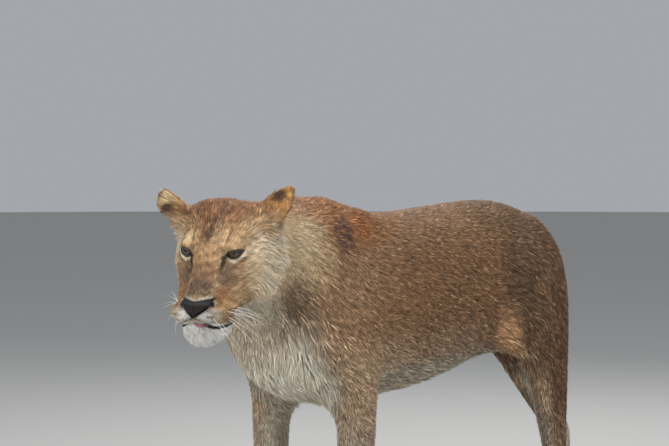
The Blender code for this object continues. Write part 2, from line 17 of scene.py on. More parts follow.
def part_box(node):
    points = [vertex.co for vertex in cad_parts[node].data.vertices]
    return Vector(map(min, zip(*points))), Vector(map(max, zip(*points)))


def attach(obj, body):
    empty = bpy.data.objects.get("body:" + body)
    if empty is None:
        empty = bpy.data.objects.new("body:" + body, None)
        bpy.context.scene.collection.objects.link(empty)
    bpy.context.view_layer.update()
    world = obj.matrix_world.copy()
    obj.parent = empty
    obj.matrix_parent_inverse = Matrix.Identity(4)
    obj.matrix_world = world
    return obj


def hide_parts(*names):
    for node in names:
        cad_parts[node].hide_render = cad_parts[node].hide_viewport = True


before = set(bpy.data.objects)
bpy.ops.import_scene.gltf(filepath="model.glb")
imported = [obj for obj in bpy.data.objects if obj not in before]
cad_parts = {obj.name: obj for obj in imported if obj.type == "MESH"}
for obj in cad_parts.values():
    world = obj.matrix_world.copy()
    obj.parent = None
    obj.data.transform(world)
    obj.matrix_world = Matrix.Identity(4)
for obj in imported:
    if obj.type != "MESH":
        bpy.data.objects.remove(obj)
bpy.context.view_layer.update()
MM = 0.001
SIDES = {"left": 1, "right": -1}

# %% [markdown]
# The camera stands in front of her left shoulder, at the height of her back, with a long lens. The animal's own
# frame has its origin on the floor under her ribs, where her spine is straight.

# %% Camera
BODY_AT = Vector((-0.0928, -0.0792, 0.0))
CAMERA_AT = Vector((3.987, 3.298, 1.066)) + BODY_AT
CAMERA_AIM = Vector((0.253, 0.028, 0.887)) + BODY_AT

bpy.ops.object.select_all(action="DESELECT")
bpy.ops.object.camera_add(location=CAMERA_AT)
camera = bpy.context.object
camera.rotation_euler = (CAMERA_AIM - CAMERA_AT).to_track_quat("-Z", "Y").to_euler()
camera.data.lens = 112.5
camera.data.sensor_width = 36
bpy.context.scene.camera = camera
bpy.context.scene.view_settings.view_transform = "Standard"

# %% [markdown]
# Shader sums are easier to read as Python. Wire wraps an output of a node, so that `1 - mask` adds a Math node,
# and Paint.node adds any other node from its type, its settings and what its sockets get.

# %% Shader helpers
class Wire:
    def __init__(self, paint, socket):
        self.paint, self.socket = paint, socket

    def math(self, operation, first, second):
        return self.paint.node("ShaderNodeMath", {"operation": operation}, {0: first, 1: second})

    def __mul__(self, other):
        return self.math("MULTIPLY", self, other)

    def __add__(self, other):
        return self.math("ADD", self, other)

    def __sub__(self, other):
        return self.math("SUBTRACT", self, other)

    def __rsub__(self, other):
        return self.math("SUBTRACT", other, self)

    __rmul__, __radd__ = __mul__, __add__


class Paint:
    """A material with one Principled shader. set() fills its sockets."""

    def __init__(self, name):
        self.material = bpy.data.materials.new(name)
        self.material.use_nodes = True
        self.tree = self.material.node_tree
        self.shader = self.tree.nodes["Principled BSDF"]

    def feed(self, socket, value):
        if isinstance(value, Wire):
            self.tree.links.new(value.socket, socket)
        else:
            socket.default_value = value

    def node(self, kind, settings, inputs, output=0):
        made = self.tree.nodes.new(kind)
        for key, value in settings.items():
            if key == "stops":
                ramp = made.color_ramp.elements
                while len(ramp) < len(value):
                    ramp.new(0.5)
                for element, (place, colour) in zip(ramp, value):
                    element.position = place
                    element.color = (*colour, 1)
            else:
                setattr(made, key, value)
        for key, value in inputs.items():
            self.feed(made.inputs[key], value)
        return Wire(self, made.outputs[output])

    def set(self, **sockets):
        for key, value in sockets.items():
            self.feed(self.shader.inputs[key.replace("_", " ")], value)

    def place(self, scale=(1, 1, 1)):
        coordinates = self.node("ShaderNodeTexCoord", {}, {}, "Object")
        return self.node("ShaderNodeMapping", {}, {"Vector": coordinates, "Scale": scale})

    def noise(self, scale, detail=3.0, stretch=(1, 1, 1)):
        sockets = {"Vector": self.place(stretch), "Scale": scale, "Detail": detail}
        return self.node("ShaderNodeTexNoise", {}, sockets, "Fac")

    def attribute(self, name, output="Color"):
        return self.node("ShaderNodeAttribute", {"attribute_name": name}, {}, output)

    def ramp(self, amount, *stops):
        return self.node("ShaderNodeValToRGB", {"stops": stops}, {"Fac": amount})

    def blend(self, how, amount, first, second):
        return self.node("ShaderNodeMix", {"data_type": "RGBA", "blend_type": how},
                         {0: amount, 6: first, 7: second}, 2)

    def bump(self, height, distance):
        return self.node("ShaderNodeBump", {}, {"Height": height, "Distance": distance})


def dress(piece, paint, slot, *nodes):
    """Gives a piece its material, hangs it under the root and hides the frame's nodes that it stands for. The slot is
    not used.
    """
    piece.data.materials.append(paint.material)
    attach(piece, "root")
    if nodes:
        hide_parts(*nodes)


# %% [markdown]
# The floor is plain and pale. The light is a studio's: one large soft lamp high on her left, a weaker one in
# front and pale surroundings, so that the folds of the body still cast a soft shade.

# %% Floor and light
FLOOR_COLOUR = (0.50, 0.49, 0.47)

bpy.ops.mesh.primitive_circle_add(vertices=96, radius=30, fill_type="NGON", location=(0, 0, -0.0005))
floor = bpy.context.object
floor.name = "floor"
bpy.ops.object.transform_apply(location=True)
floor_paint = Paint("floor")
floor_paint.set(Base_Color=(*FLOOR_COLOUR, 1), Roughness=0.9)
floor.data.materials.append(floor_paint.material)

world = bpy.data.worlds.new("studio")
world.use_nodes = True
world.node_tree.nodes["Background"].inputs["Color"].default_value = (0.80, 0.84, 0.90, 1)
world.node_tree.nodes["Background"].inputs["Strength"].default_value = 0.46
bpy.context.scene.world = world

LAMPS = {  # place, size and watts
    "key": ((0.9, 3.4, 4.2), 3.2, 255), "front": ((4.2, 0.0, 2.4), 2.5, 125), "rim": ((-2.8, -1.5, 3.4), 2.5, 65)}
for name, (place, size, watts) in LAMPS.items():
    bpy.ops.object.light_add(type="AREA", location=place)
    lamp = bpy.context.object
    lamp.name = name
    lamp.data.size = size
    lamp.data.energy = watts
    lamp.rotation_euler = (Vector((0.1, 0, 0.6)) - Vector(place)).to_track_quat("-Z", "Y").to_euler()

# %% [markdown]
# The head is turned, so its forms are easiest to place in its own frame: X to the nose, Y to her left and Z up,
# in millimetres, with the origin between the eyes. The eyeballs in the frame say where that is.

# %% The head's frame
YAW, PITCH, ROLL = 24.0, 24.0, -2.5
EYE_MIDDLE = np.array((1.0, 0.0, -1.0))


def middle(node):
    low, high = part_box(node)
    return (low + high) / 2


SPIN = np.array(Matrix.Rotation(math.radians(YAW), 3, "Z") @ Matrix.Rotation(math.radians(PITCH), 3, "Y")
                @ Matrix.Rotation(math.radians(ROLL), 3, "X"))
HEAD_AT = np.array((middle("eye_left") + middle("eye_right")) / 2) - SPIN @ EYE_MIDDLE * MM
EYE_RADIUS = (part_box("eye_left")[1].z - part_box("eye_left")[0].z) / 2 / MM
EYE_SPREAD = (middle("eye_left") - middle("eye_right")).length / 2 / MM
print("head at", HEAD_AT.round(3), "eye radius", round(EYE_RADIUS, 1), "mm, spread", round(EYE_SPREAD, 1), "mm")


def step(values, low, high):
    t = np.clip((values - low) / (high - low), 0, 1)
    return t * t * (3 - 2 * t)


def lean(head):
    """How far the muzzle hangs to her right of the head's own middle, in millimetres."""
    return (4.5 + 8.5 * step(head[..., 2], -64, -104)) * step(head[..., 0], 60, 105)


def to_head(points):
    head = (points - HEAD_AT) @ SPIN / MM
    head[..., 1] += lean(head)
    return head


def from_head(head):
    head = np.array(head, float)
    head[..., 1] -= lean(head)
    return head * MM @ SPIN.T + HEAD_AT


# %% [markdown]
# Soft masks say where a form, a marking or a kind of fur is: a smooth step along one measure, a ball that fades
# to its rim, and a line with soft edges. `mirrored` folds the right half of the head over the left.

# %% Masks
def spot(points, centre, radii):
    d = (points - np.array(centre)) / np.array(radii)
    return np.clip(1 - (d * d).sum(axis=1), 0, 1)


def line_distance(points, route):
    nearest = np.full(len(points), np.inf)
    for a, b in zip(np.array(route, float), np.array(route[1:], float)):
        t = np.clip((points - a) @ (b - a) / ((b - a) @ (b - a)), 0, 1)
        nearest = np.minimum(nearest, np.linalg.norm(points - (a + t[:, None] * (b - a)), axis=1))
    return nearest


def stroke(points, route, reach, core, noise=0):
    """A line with soft edges: 1 up to core from the route, nothing beyond reach."""
    return step(line_distance(points, route) + noise, reach, core)


def mirrored(points):
    return points * np.array((1, 0, 1)) + np.abs(points) * np.array((0, 1, 0))


def unit(vectors):
    return vectors / np.maximum(np.linalg.norm(vectors, axis=1, keepdims=True), 1e-9)


def ripple(points, size, seed):
    """Smooth noise from -1 to 1 whose waves are about that long."""
    random = np.random.default_rng(seed)
    total = np.zeros(len(points))
    for _ in range(7):
        way = unit(random.normal(size=(1, 3)))[0]
        total += np.sin(points @ way * (2 * math.pi / size * random.uniform(0.7, 1.5)) + random.uniform(0, 6.3))
    return total / 3.2


# %% [markdown]
# The skin starts as copies of all the flesh in the frame, swollen by a millimetre so that the thin gaps between
# neighbours close, and fused with a Remesh.

# %% Fusing the skin
FLESH = [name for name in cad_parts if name.split("_")[0] not in ("eye", "nose", "tongue")]
SWELL = 1.0 * MM
GRAIN = 7.1 * MM


def apply_modifiers(obj):
    bpy.ops.object.select_all(action="DESELECT")
    obj.select_set(True)
    bpy.context.view_layer.objects.active = obj
    for modifier in list(obj.modifiers):
        bpy.ops.object.modifier_apply(modifier=modifier.name)


def copy_of(nodes, name):
    """The nodes' shapes in one new mesh, with each solid's loose triangles merged."""
    bm = bmesh.new()
    for node in nodes:
        bm.from_mesh(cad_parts[node].data)
    bmesh.ops.remove_doubles(bm, verts=bm.verts[:], dist=0.01 * MM)
    mesh = bpy.data.meshes.new(name)
    bm.to_mesh(mesh)
    bm.free()
    made = bpy.data.objects.new(name, mesh)
    bpy.context.scene.collection.objects.link(made)
    return made


def fuse(obj, swell, grain):
    grow = obj.modifiers.new("Swell", "DISPLACE")
    grow.strength = swell
    grow.mid_level = 0
    remesh = obj.modifiers.new("Fuse", "REMESH")
    remesh.mode = "VOXEL"
    remesh.voxel_size = grain
    apply_modifiers(obj)


def read(obj):
    """The places of a mesh's points and their normals."""
    count = len(obj.data.vertices)
    points, normals = np.empty(count * 3, np.float32), np.empty(count * 3, np.float32)
    obj.data.vertices.foreach_get("co", points)
    obj.data.vertex_normals.foreach_get("vector", normals)
    return points.reshape(-1, 3).astype(float), normals.reshape(-1, 3).astype(float)


def write(obj, points):
    obj.data.vertices.foreach_set("co", points.astype(np.float32).ravel())
    obj.data.update()


def halve_faces(obj, wanted):
    """Cuts the edges in two where wanted says so of the points."""
    bm = bmesh.new()
    bm.from_mesh(obj.data)
    bm.verts.ensure_lookup_table()
    edges = [e for e in bm.edges if wanted[e.verts[0].index] and wanted[e.verts[1].index]]
    bmesh.ops.subdivide_edges(bm, edges=edges, cuts=1, use_grid_fill=True)
    bm.to_mesh(obj.data)
    bm.free()


skin = copy_of(FLESH + ["eye_left", "eye_right", "nose"], "skin")
fuse(skin, SWELL, GRAIN)
print("skin", len(skin.data.polygons), "faces")

# %% [markdown]
# The frame's solids have flat facets, which would show under short fur. Each point is drawn towards its
# neighbours some dozens of times, more on the broad trunk than on the thin legs, and hardly at all on the head.
# To know which part a point belongs to, the nearest of the frame's faces is found, and the answers are spread
# over the neighbours, so that every measure changes smoothly from part to part.

# %% Which part each point belongs to
PARTS = ("head", "jaw", "ear", "neck", "trunk", "tail", "tail_tuft", "foreleg", "hindleg", "paw_front", "paw_hind")
node_part = {name: max((part for part in PARTS if name.startswith(part)), key=len, default="head")
             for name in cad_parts}


def flesh_tree():
    corners, faces, owners = [], [], []
    for name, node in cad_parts.items():
        if name.startswith("tongue"):
            continue
        first = len(corners)
        corners += [v.co.copy() for v in node.data.vertices]
        for face in node.data.polygons:
            faces.append([first + v for v in face.vertices])
            owners.append(PARTS.index(node_part[name]))
    return BVHTree.FromPolygons(corners, faces), np.array(owners)


TREE, OWNERS = flesh_tree()


class Web:
    """The edges of a mesh, along which measures are spread."""

    def __init__(self, obj):
        self.count = len(obj.data.vertices)
        ends = np.empty(len(obj.data.edges) * 2, np.int32)
        obj.data.edges.foreach_get("vertices", ends)
        a, b = ends.reshape(-1, 2).T
        self.start, self.end = np.concatenate((a, b)), np.concatenate((b, a))
        self.degree = np.maximum(np.bincount(self.start, minlength=self.count), 1)[:, None]

    def mean(self, values):
        columns = [np.bincount(self.start, values[self.end, k], self.count) for k in range(values.shape[1])]
        return np.stack(columns, axis=1) / self.degree

    def spread(self, values, rounds, strength=0.6):
        for _ in range(rounds):
            values = values + (self.mean(values) - values) * strength
        return values


def part_weights(obj, web, rounds):
    points, _ = read(obj)
    nearest = np.array([OWNERS[TREE.find_nearest(Vector(p))[2]] for p in points])
    return web.spread((nearest[:, None] == np.arange(len(PARTS))).astype(float), rounds)


def table(weights, values):
    """A measure for every point from each part's own."""
    return weights @ np.array([values[part] for part in PARTS], float)


web = Web(skin)
weights = part_weights(skin, web, 12)
EASE = dict(head=0.10, jaw=0.2, ear=0.08, neck=0.6, trunk=0.6, tail=0.12, tail_tuft=0.12, foreleg=0.22, hindleg=0.22,
            paw_front=0.05, paw_hind=0.05)
points, _ = read(skin)
points = web.spread(points, 60, table(weights, EASE)[:, None])
write(skin, points)
print("skin smoothed:", len(points), "points")

# %% [markdown]
# Small forms need small faces. They are halved on the front of the head and of the feet, and once more round the
# eyes, the nose and the mouth, where the smallest forms are.

# %% Finer faces
PAWS = [name for name in FLESH if name.startswith("paw")]
FACE_AT, FACE_REACH = (60, 0, -40), (95, 95, 125)
FINE_AT = (((16, 46, 0), (26, 30, 24)), ((92, 30, -112), (48, 44, 36)), ((116, 10, -70), (30, 40, 40)))


def toe_share(points):
    """Whether a place is on the front of a foot, from 0 to 1, and how far across it is, in its widths."""
    front, across = np.zeros(len(points)), np.zeros(len(points))
    for paw in PAWS:
        low, high = (np.array(corner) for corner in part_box(paw))
        share = (points - low) / (high - low) - 0.5
        near = (np.abs(share) < 0.6).all(axis=1)
        front = np.where(near, step(share[:, 0], -0.04, 0.16), front)
        across = np.where(near, share[:, 1], across)
    return front, across


halve_faces(skin, (spot(to_head(points), FACE_AT, FACE_REACH) > 0) | (toe_share(points)[0] > 0))
face_points = mirrored(to_head(read(skin)[0]))
halve_faces(skin, sum(spot(face_points, centre, radii) for centre, radii in FINE_AT) > 0)
print("skin", len(skin.data.polygons), "faces after halving")

# %% [markdown]
# The coat's own depth comes off the skin everywhere, so that the tips of the fur end where the solids do. Each
# part has its own depth, and on the head it goes from four millimetres on the muzzle to twelve under the ruff.

# %% Where the fur is long
web = Web(skin)
points, normals = read(skin)
weights = part_weights(skin, web, 14)
NARROW = [PARTS.index(part) for part in ("head", "jaw", "ear", "tail", "tail_tuft")]
broad = 1 - step(weights[:, NARROW].sum(axis=1), 0.02, 0.3)
weights = web.spread(weights, 110, 0.6 * broad[:, None])


class Place:
    """What is known of each point: its place in the body's frame and the head's, its normal and its part."""

    def __init__(self, points, normals, weights):
        self.body = points - np.array(BODY_AT)
        self.head = to_head(points)
        self.fold = mirrored(self.head)
        self.normal = normals
        self.facing = normals @ SPIN
        self.weights = weights
        self.on = {part: weights[:, k] for k, part in enumerate(PARTS)}
        self.on_head = self.on["head"] + self.on["jaw"]
        x, y, z = self.body.T
        self.under = step(-normals[:, 2], 0.15, 0.75)
        self.inner = step(-normals[:, 1] * np.sign(y - 0.01), 0.2, 0.8)
        self.chest = step(x, 0.30, 0.44) * step(z, 0.80, 0.62) * step(np.abs(y - 0.02), 0.16, 0.09) * self.on["trunk"]
        self.belly = step(z, 0.60, 0.50) * self.under * self.on["trunk"]
        hx, hy, hz = self.fold.T
        self.ruff = self.on_head * step(hx, -20, -75) * step(hz, 45, -15) * step(hy, 30, 70)
        self.ruff += (1 - self.ruff) * spot(self.fold, (-55, 80, -95), (60, 60, 60)) ** 0.5 * self.on_head
        self.cheek = self.on_head * spot(self.fold, (-20, 85, -50), (70, 55, 75)) ** 0.5
        self.crown = self.on_head * step(hz, 20, 55) * step(hx, 25, -30)
        self.chin = self.on["jaw"] * step(hx, 20, 60)


here = Place(points, normals, weights)


def blend(base, value, mask):
    mask = mask if np.ndim(base) == 1 else mask[:, None]
    return base + (np.asarray(value) - base) * mask


DEPTH = dict(head=3.0, jaw=5.0, ear=2.2, neck=9, trunk=7, tail=5, tail_tuft=11, foreleg=4.5, hindleg=5, paw_front=3,
             paw_hind=3)


def coat_depth(at):
    depth = table(at.weights, DEPTH)
    depth = blend(depth, 11, np.maximum(at.ruff, at.chest))
    depth = blend(depth, 11, at.belly)
    depth = blend(depth, 7, at.cheek * (1 - at.ruff))
    return blend(depth, 5, at.crown)


SKIN_LOWEST = 0.4 * MM

sole = step(points[:, 2], 0.004, 0.016)
depth = coat_depth(here) * sole + 1.0
points = points - normals * (depth * MM)[:, None]
write(skin, points)
points, normals = read(skin)
points = web.spread(points, 3, (0.3 * here.on_head + 0.15)[:, None] * sole[:, None])
points[:, 2] = np.maximum(points[:, 2], SKIN_LOWEST)

# %% [markdown]
# The finer forms of the head are sculpted as with a brush: a soft push at a place, the same on both sides.
# The muzzle gets full whisker pads over a creased lip, the cheekbones stand out under the eyes, a shallow furrow
# runs up the forehead, and the brows hang over the eyes.

# %% Sculpting the head
LIP_LINE = np.array(((119, 0, -104), (115, 12, -109), (107, 26, -118), (98, 38, -126), (84, 48, -132), (68, 55, -136),
                     (50, 58, -139)))
PHILTRUM = ((128, 0, -92), (121, 0, -99), (116, 0, -108))
SWAY = 0.75  # muzzle and nose hang further to her right by that share of the lean
NOSE_HEIGHTS, NOSE_HALF_WIDTHS = (-106, -98, -92, -84, -76, -70, -62), (1.5, 3.5, 8, 17, 26, 32, 33)
BRUSHES = (  # centre, radii and push of each stroke on her left, in millimetres
    ((98, 30, -98), (30, 24, 24), (1.5, 3.5, 0)),  # whisker pad
    ((70, 44, -112), (30, 20, 20), (0, 2.5, -1)),  # back of the pad
    ((96, 40, -124), (18, 16, 10), (1, 1.5, -1.5)),  # edge of the upper lip
    ((30, 62, -38), (40, 22, 22), (1, 2.5, 1)),  # cheekbone
    ((62, 40, -66), (26, 16, 26), (-1, -3, 0)),  # hollow between cheek and pad
    ((20, 40, 16), (20, 22, 9), (3.0, 1.0, 0.5)),  # brow over the lid
    ((30, 27, -12), (14, 9, 16), (-2.0, -1.0, -0.5)),  # inner corner
    ((26, 44, -19), (14, 22, 7), (1.5, 0.6, -0.5)),  # fold under the eye
    ((-6, 62, 44), (44, 30, 24), (0, -1.5, -1.5)),  # temple
    ((110, 20, -98), (24, 20, 18), (2.0, 0.5, 0)),  # front of the upper lip
    ((103, 46, -90), (26, 22, 28), (1.5, 4.5, 0)),  # side of the pad
    ((112, 27, -58), (12, 12, 8), (-1.0, -0.5, 0)),  # above the wing of the nose
)
CREASES = (  # route, depth, reach and core, in millimetres
    (((30, 0, 22), (-10, 0, 48), (-60, 0, 70)), 1.6, 11, 0),  # furrow up the forehead
    (LIP_LINE, 5.0, 5.5, 0.8),
    (PHILTRUM, 2.6, 4.0, 0.4),
)


def lip_skin(fold, above, below, soft):
    """The bare dark skin along the lips: that far above the line between them, and that far below."""
    under = fold[:, 2] < np.interp(fold[:, 0], *LIP_LINE[::-1, ::2].T)
    reach = np.where(under, below, above)
    return stroke(fold, LIP_LINE, reach + soft, reach) * (fold[:, 0] > 45)


def pad_margin(head):
    """How far a place is inside the bare pad of the nose, in millimetres; below nothing outside."""
    side = np.abs(head[:, 1])
    half_width = np.interp(head[:, 2], NOSE_HEIGHTS, NOSE_HALF_WIDTHS)
    front = 117 + 3.5 * step(head[:, 2], -86, -74) - 0.024 * side ** 2
    return np.minimum(half_width - side, head[:, 0] - front)


def sculpt_head(head, inward):
    for centre, radii, way in BRUSHES:
        for s in (1, -1):
            mirror = np.array((1, s, 1))
            head = head + (spot(head, centre * mirror, radii) ** 2)[:, None] * (way * mirror)
    fold = mirrored(head)
    for route, depth, reach, core in CREASES:
        head = head + inward * (depth * stroke(fold, route, reach, core))[:, None]
    return head + inward * (4.0 * step(pad_margin(head), 0.5, 5) * (head[:, 0] > 85))[:, None]


touched = here.on_head[:, None] > 0.3
head = to_head(points)
ear_lobe = spot(head, (-82, -126, 58), (34, 26, 36)) * here.on["ear"]
points = from_head(head + ear_lobe[:, None] * np.array((0, -9, -3)))
head[:, 1] -= lean(head) * SWAY
points = np.where(touched, from_head(sculpt_head(head, -(normals @ SPIN))), points)
print("head sculpted:", int(touched.sum()), "points")

# %% [markdown]
# Each foot has four toes. The skin is drawn in along the three lines between them, from the knuckles to the sole.

# %% Toes
TOE_GAPS, TOE_DEPTH, TOE_SOFT = (-0.235, 0.0, 0.235), 11.0, 0.09
front, across = toe_share(points)
for gap in TOE_GAPS:
    cut = step(np.abs(across - gap), TOE_SOFT, 0.01) * front * step(points[:, 2], 0.003, 0.014)
    points = points - normals * (TOE_DEPTH * MM * cut)[:, None]
print("toes cut at", int((front > 0.5).sum()), "points")

# %% [markdown]
# An eyelid is a sheet that lies on the eyeball. Round each opening the skin is set a little proud of the ball,
# and inside the opening it is pushed back behind it. The openings are almonds with a heavy, nearly straight
# upper lid, and they rise towards the ears.

# %% Eyelids
EYE_SPLAY, EYE_TILT, EYE_LIFT = 24.0, 3.0, 9.0
LID_HALF_WIDTH, LID_THICKNESS, LID_REACH = 17.0, 2.2, 17.0


class Eye:
    """An eye's centre and its own directions: ahead, out to the temple and up, along the slant of the lids."""

    def __init__(self, s):
        splay, tilt = math.radians(EYE_SPLAY), math.radians(EYE_TILT)
        self.centre = EYE_MIDDLE + np.array((0, s * EYE_SPREAD, 0))
        lift = math.radians(EYE_LIFT)
        level = np.array((-math.sin(splay), s * math.cos(splay), 0))
        self.ahead = np.array((math.cos(splay) * math.cos(lift), s * math.sin(splay) * math.cos(lift), math.sin(lift)))
        above = np.array((-math.cos(splay) * math.sin(lift), -s * math.sin(splay) * math.sin(lift), math.cos(lift)))
        self.out = level * math.cos(tilt) + above * math.sin(tilt)
        self.up = above * math.cos(tilt) - level * math.sin(tilt)

    def measure(self, head):
        away = head - self.centre
        return away @ self.ahead, away @ self.out, away @ self.up


def upper_lid(out):
    t = np.clip(out / LID_HALF_WIDTH, -1, 1)
    return 5.6 * (1 - t * t) ** 0.5 * (1 + 0.05 * t)


def lower_lid(out):
    t = np.clip(out / LID_HALF_WIDTH, -1, 1)
    return -8.0 * (1 - t * t) ** 0.8 * (1 - 0.30 * t)


EYES = {side: Eye(s) for side, s in SIDES.items()}


def rim_distance(out, up):
    """How far a place is outside the opening, across the gaze; below nothing inside it."""
    edge = np.maximum(up - upper_lid(out), lower_lid(out) - up)
    side = np.abs(out) - LID_HALF_WIDTH
    return np.where((edge < 0) & (side < 0), np.maximum(edge, side), np.hypot(np.maximum(edge, 0), np.maximum(side, 0)))


def off_lids(head):
    """How far a place is outside the nearer eye's opening; endless behind the eyes."""
    nearest = np.inf
    for eye in EYES.values():
        ahead, out, up = eye.measure(head)
        nearest = np.minimum(nearest, np.where(ahead > 0, rim_distance(out, up), np.inf))
    return nearest


def lidded(head):
    for eye in EYES.values():
        ahead, out, up = eye.measure(head)
        far = np.linalg.norm(head - eye.centre, axis=1)
        rim = rim_distance(out, up)
        lid = np.clip(far, EYE_RADIUS + LID_THICKNESS + 0.25 * np.maximum(rim, 0),
                      EYE_RADIUS + LID_THICKNESS + 0.5 + 0.75 * np.maximum(rim - 1, 0))
        wanted = np.where(rim < 0, EYE_RADIUS - 3.5, far + (lid - far) * step(rim, LID_REACH, 5))
        near = (rim < LID_REACH) & (ahead > 0)
        head = eye.centre + (head - eye.centre) * np.where(near, wanted / np.maximum(far, 1), 1)[:, None]
    return head


points = np.where(touched, from_head(lidded(to_head(points))), points)
write(skin, points)
points, normals = read(skin)
here = Place(points, normals, weights)
print("skin inset and sculpted:", len(points), "points")

# %% [markdown]
# The whiskers and the dark rows they grow from need places on the finished skin, so it gets a search tree.

# %% Rows of the whisker pads
skin_tree = BVHTree.FromObject(skin, bpy.context.evaluated_depsgraph_get())


def on_skin(head, sink=0.0):
    """The nearest place of the skin, sunk by that many millimetres, and the normal there."""
    place, normal, _, _ = skin_tree.find_nearest(Vector(from_head(head)))
    return to_head(np.array(place)) - np.array(normal) @ SPIN * sink, np.array(normal) @ SPIN


def whisker_root(row, column, s=1):
    return np.array((104 - 11.5 * column - 2 * row, s * (24 + 6.5 * column + 5 * row), -91 - 9.5 * row - 1.5 * column))


WHISKER_ROWS = [np.array([on_skin(whisker_root(row, column))[0] for column in range(6)]) for row in range(4)]

# %% [markdown]
# Her markings are worked out once, as a colour for any place on the skin, and given to the skin and to every
# tuft that grows there. Each colour is laid over those before it, as thick as its mask. The body is rufous over
# the shoulders, grey-brown on the flanks, darker on the thighs partly with painted shade, and cream below. Painted
# shade darkens the fold in front of the thigh and the side of the neck low down.

# %% Markings of the body
COLOURS = dict(
    rufous=(0.228, 0.106, 0.046), back=(0.215, 0.124, 0.068), flank=(0.188, 0.105, 0.054),
    thigh=(0.132, 0.076, 0.043), shoulder=(0.275, 0.165, 0.092), low_flank=(0.285, 0.19, 0.118),
    brisket=(0.34, 0.235, 0.145), belly=(0.36, 0.31, 0.235), hollow=(0.095, 0.057, 0.032),
    croup=(0.125, 0.076, 0.043), fold=(0.50, 0.285, 0.148), chest=(0.68, 0.62, 0.50), chest_side=(0.165, 0.108, 0.068),
    neck_root=(0.40, 0.28, 0.16), bruise=(0.070, 0.042, 0.042), graze=(0.27, 0.085, 0.035), neck=(0.48, 0.345, 0.205),
    neck_gold=(0.57, 0.43, 0.265), neck_shade=(0.150, 0.098, 0.062), foreleg=(0.310, 0.235, 0.175),
    shin=(0.22, 0.145, 0.09), paw=(0.42, 0.33, 0.225), tail=(0.26, 0.155, 0.085), dark=(0.030, 0.020, 0.015),
    black=(0.012, 0.009, 0.008), cream=(0.50, 0.44, 0.34), white=(0.80, 0.78, 0.73), cheek=(0.60, 0.475, 0.32))


def layered(first, layers):
    """Lays the layers' colours over the first, each as thick as its mask."""
    colour = np.tile(COLOURS[first], (len(layers[0][1]), 1))
    for name, mask in layers:
        colour = blend(colour, COLOURS[name], mask)
    return colour


def body_colour(at):
    x, y, z = at.body.T
    wave, fleck = ripple(at.body, 0.16, 3), 0.5 + 0.5 * ripple(at.body, 0.02, 9)
    height = z + 0.02 * wave
    sides = mirrored(at.body - (0, 0.01, 0))
    pale_under = np.clip(at.belly * 1.6 + step(z, 0.545, 0.50) * (at.under + at.inner), 0, 1)
    tuck = (-0.246, 0.16, 0.660), (-0.264, 0.16, 0.590), (-0.290, 0.15, 0.52), (-0.330, 0.14, 0.42)
    bruise = spot(at.body, (0.330, 0.128, 0.866), (0.040, 0.07, 0.052))
    graze = spot(at.body, (0.258, 0.124, 0.886), (0.040, 0.06, 0.044))
    return layered("flank", (
        ("shoulder", step(x, 0.16, 0.34) * step(z, 0.95, 0.75) * 0.8),
        ("back", step(height, 0.80, 0.90) * 0.9),
        # thighs: partly their own darker tone, partly painted shade on the side turned from the light
        ("thigh", step(x + 0.02 * wave, -0.23, -0.36) * step(z, 0.93, 0.84)),
        ("rufous", spot(at.body, (0.30, 0.03, 0.97), (0.27, 0.19, 0.17)) ** 0.4),
        ("low_flank", step(height, 0.68, 0.58) * step(x, -0.25, -0.1) * 0.8),
        ("brisket", step(x, 0.10, 0.26) * step(height, 0.66, 0.52)),
        ("belly", pale_under * step(x, -0.36, -0.26)),
        # hollow: painted shade in the fold between the flank and the thigh
        ("hollow", spot(sides, (-0.285, 0.16, 0.715), (0.07, 0.09, 0.17)) ** 0.7),
        ("croup", spot(at.body, (-0.33, 0.10, 0.90), (0.17, 0.25, 0.08)) ** 0.6 * 0.75),
        ("fold", stroke(sides, tuck, 0.050, -0.004, 0.012 * wave) * step(z, 0.71, 0.59) * 0.85),
        # mostly painted shade low on the side of the neck, over a slightly darker brown of her own
        ("chest_side", spot(at.body, (0.505, 0.14, 0.700), (0.080, 0.09, 0.10)) * 0.9),
        ("chest", at.chest * step(np.abs(y - 0.03), 0.15, 0.08) * step(z, 0.72, 0.62)),
        ("neck_root", spot(at.body, (0.44, 0.14, 0.83), (0.07, 0.10, 0.09)) ** 0.5 * 0.8),
        ("bruise", np.clip(bruise * 1.5 * fleck, 0, 0.8)),
        ("graze", np.clip(graze * 1.2 * fleck, 0, 0.5))))


def neck_colour(at):
    x, y, z = at.body.T
    return layered("neck", (
        ("rufous", step(z, 0.885, 0.94) * 0.85),
        ("cheek", step(x, 0.53, 0.66) * step(z, 0.93, 0.84) * 0.8),
        ("neck_gold", spot(at.body, (0.455, 0.14, 0.825), (0.09, 0.10, 0.10)) ** 0.5),
        # mostly painted shade low on the side of the neck, over a slightly darker brown of her own
        ("neck_shade", spot(at.body, (0.512, 0.14, 0.705), (0.080, 0.10, 0.10)) * 0.95),
        ("cream", step(z + 0.03 * np.sign(at.normal[:, 2]), 0.67, 0.60)),
        ("cream", step(-at.normal[:, 2], 0.45, 0.85))))


def leg_colour(at, hind):
    z, ahead = at.body[:, 2], at.normal[:, 0]
    shin = [("shin", step(z, 0.44, 0.30)), ("fold", step(ahead, 0.25, 0.8) * step(z, 0.36, 0.46) * 0.6)]
    pale = [("cream", np.clip(at.inner * 0.9 + step(ahead, 0.3, 0.9) * 0.35, 0, 1))]
    # the hind legs start from the thigh colour, its painted shade included
    return layered("thigh", shin + pale) if hind else layered("foreleg", pale)
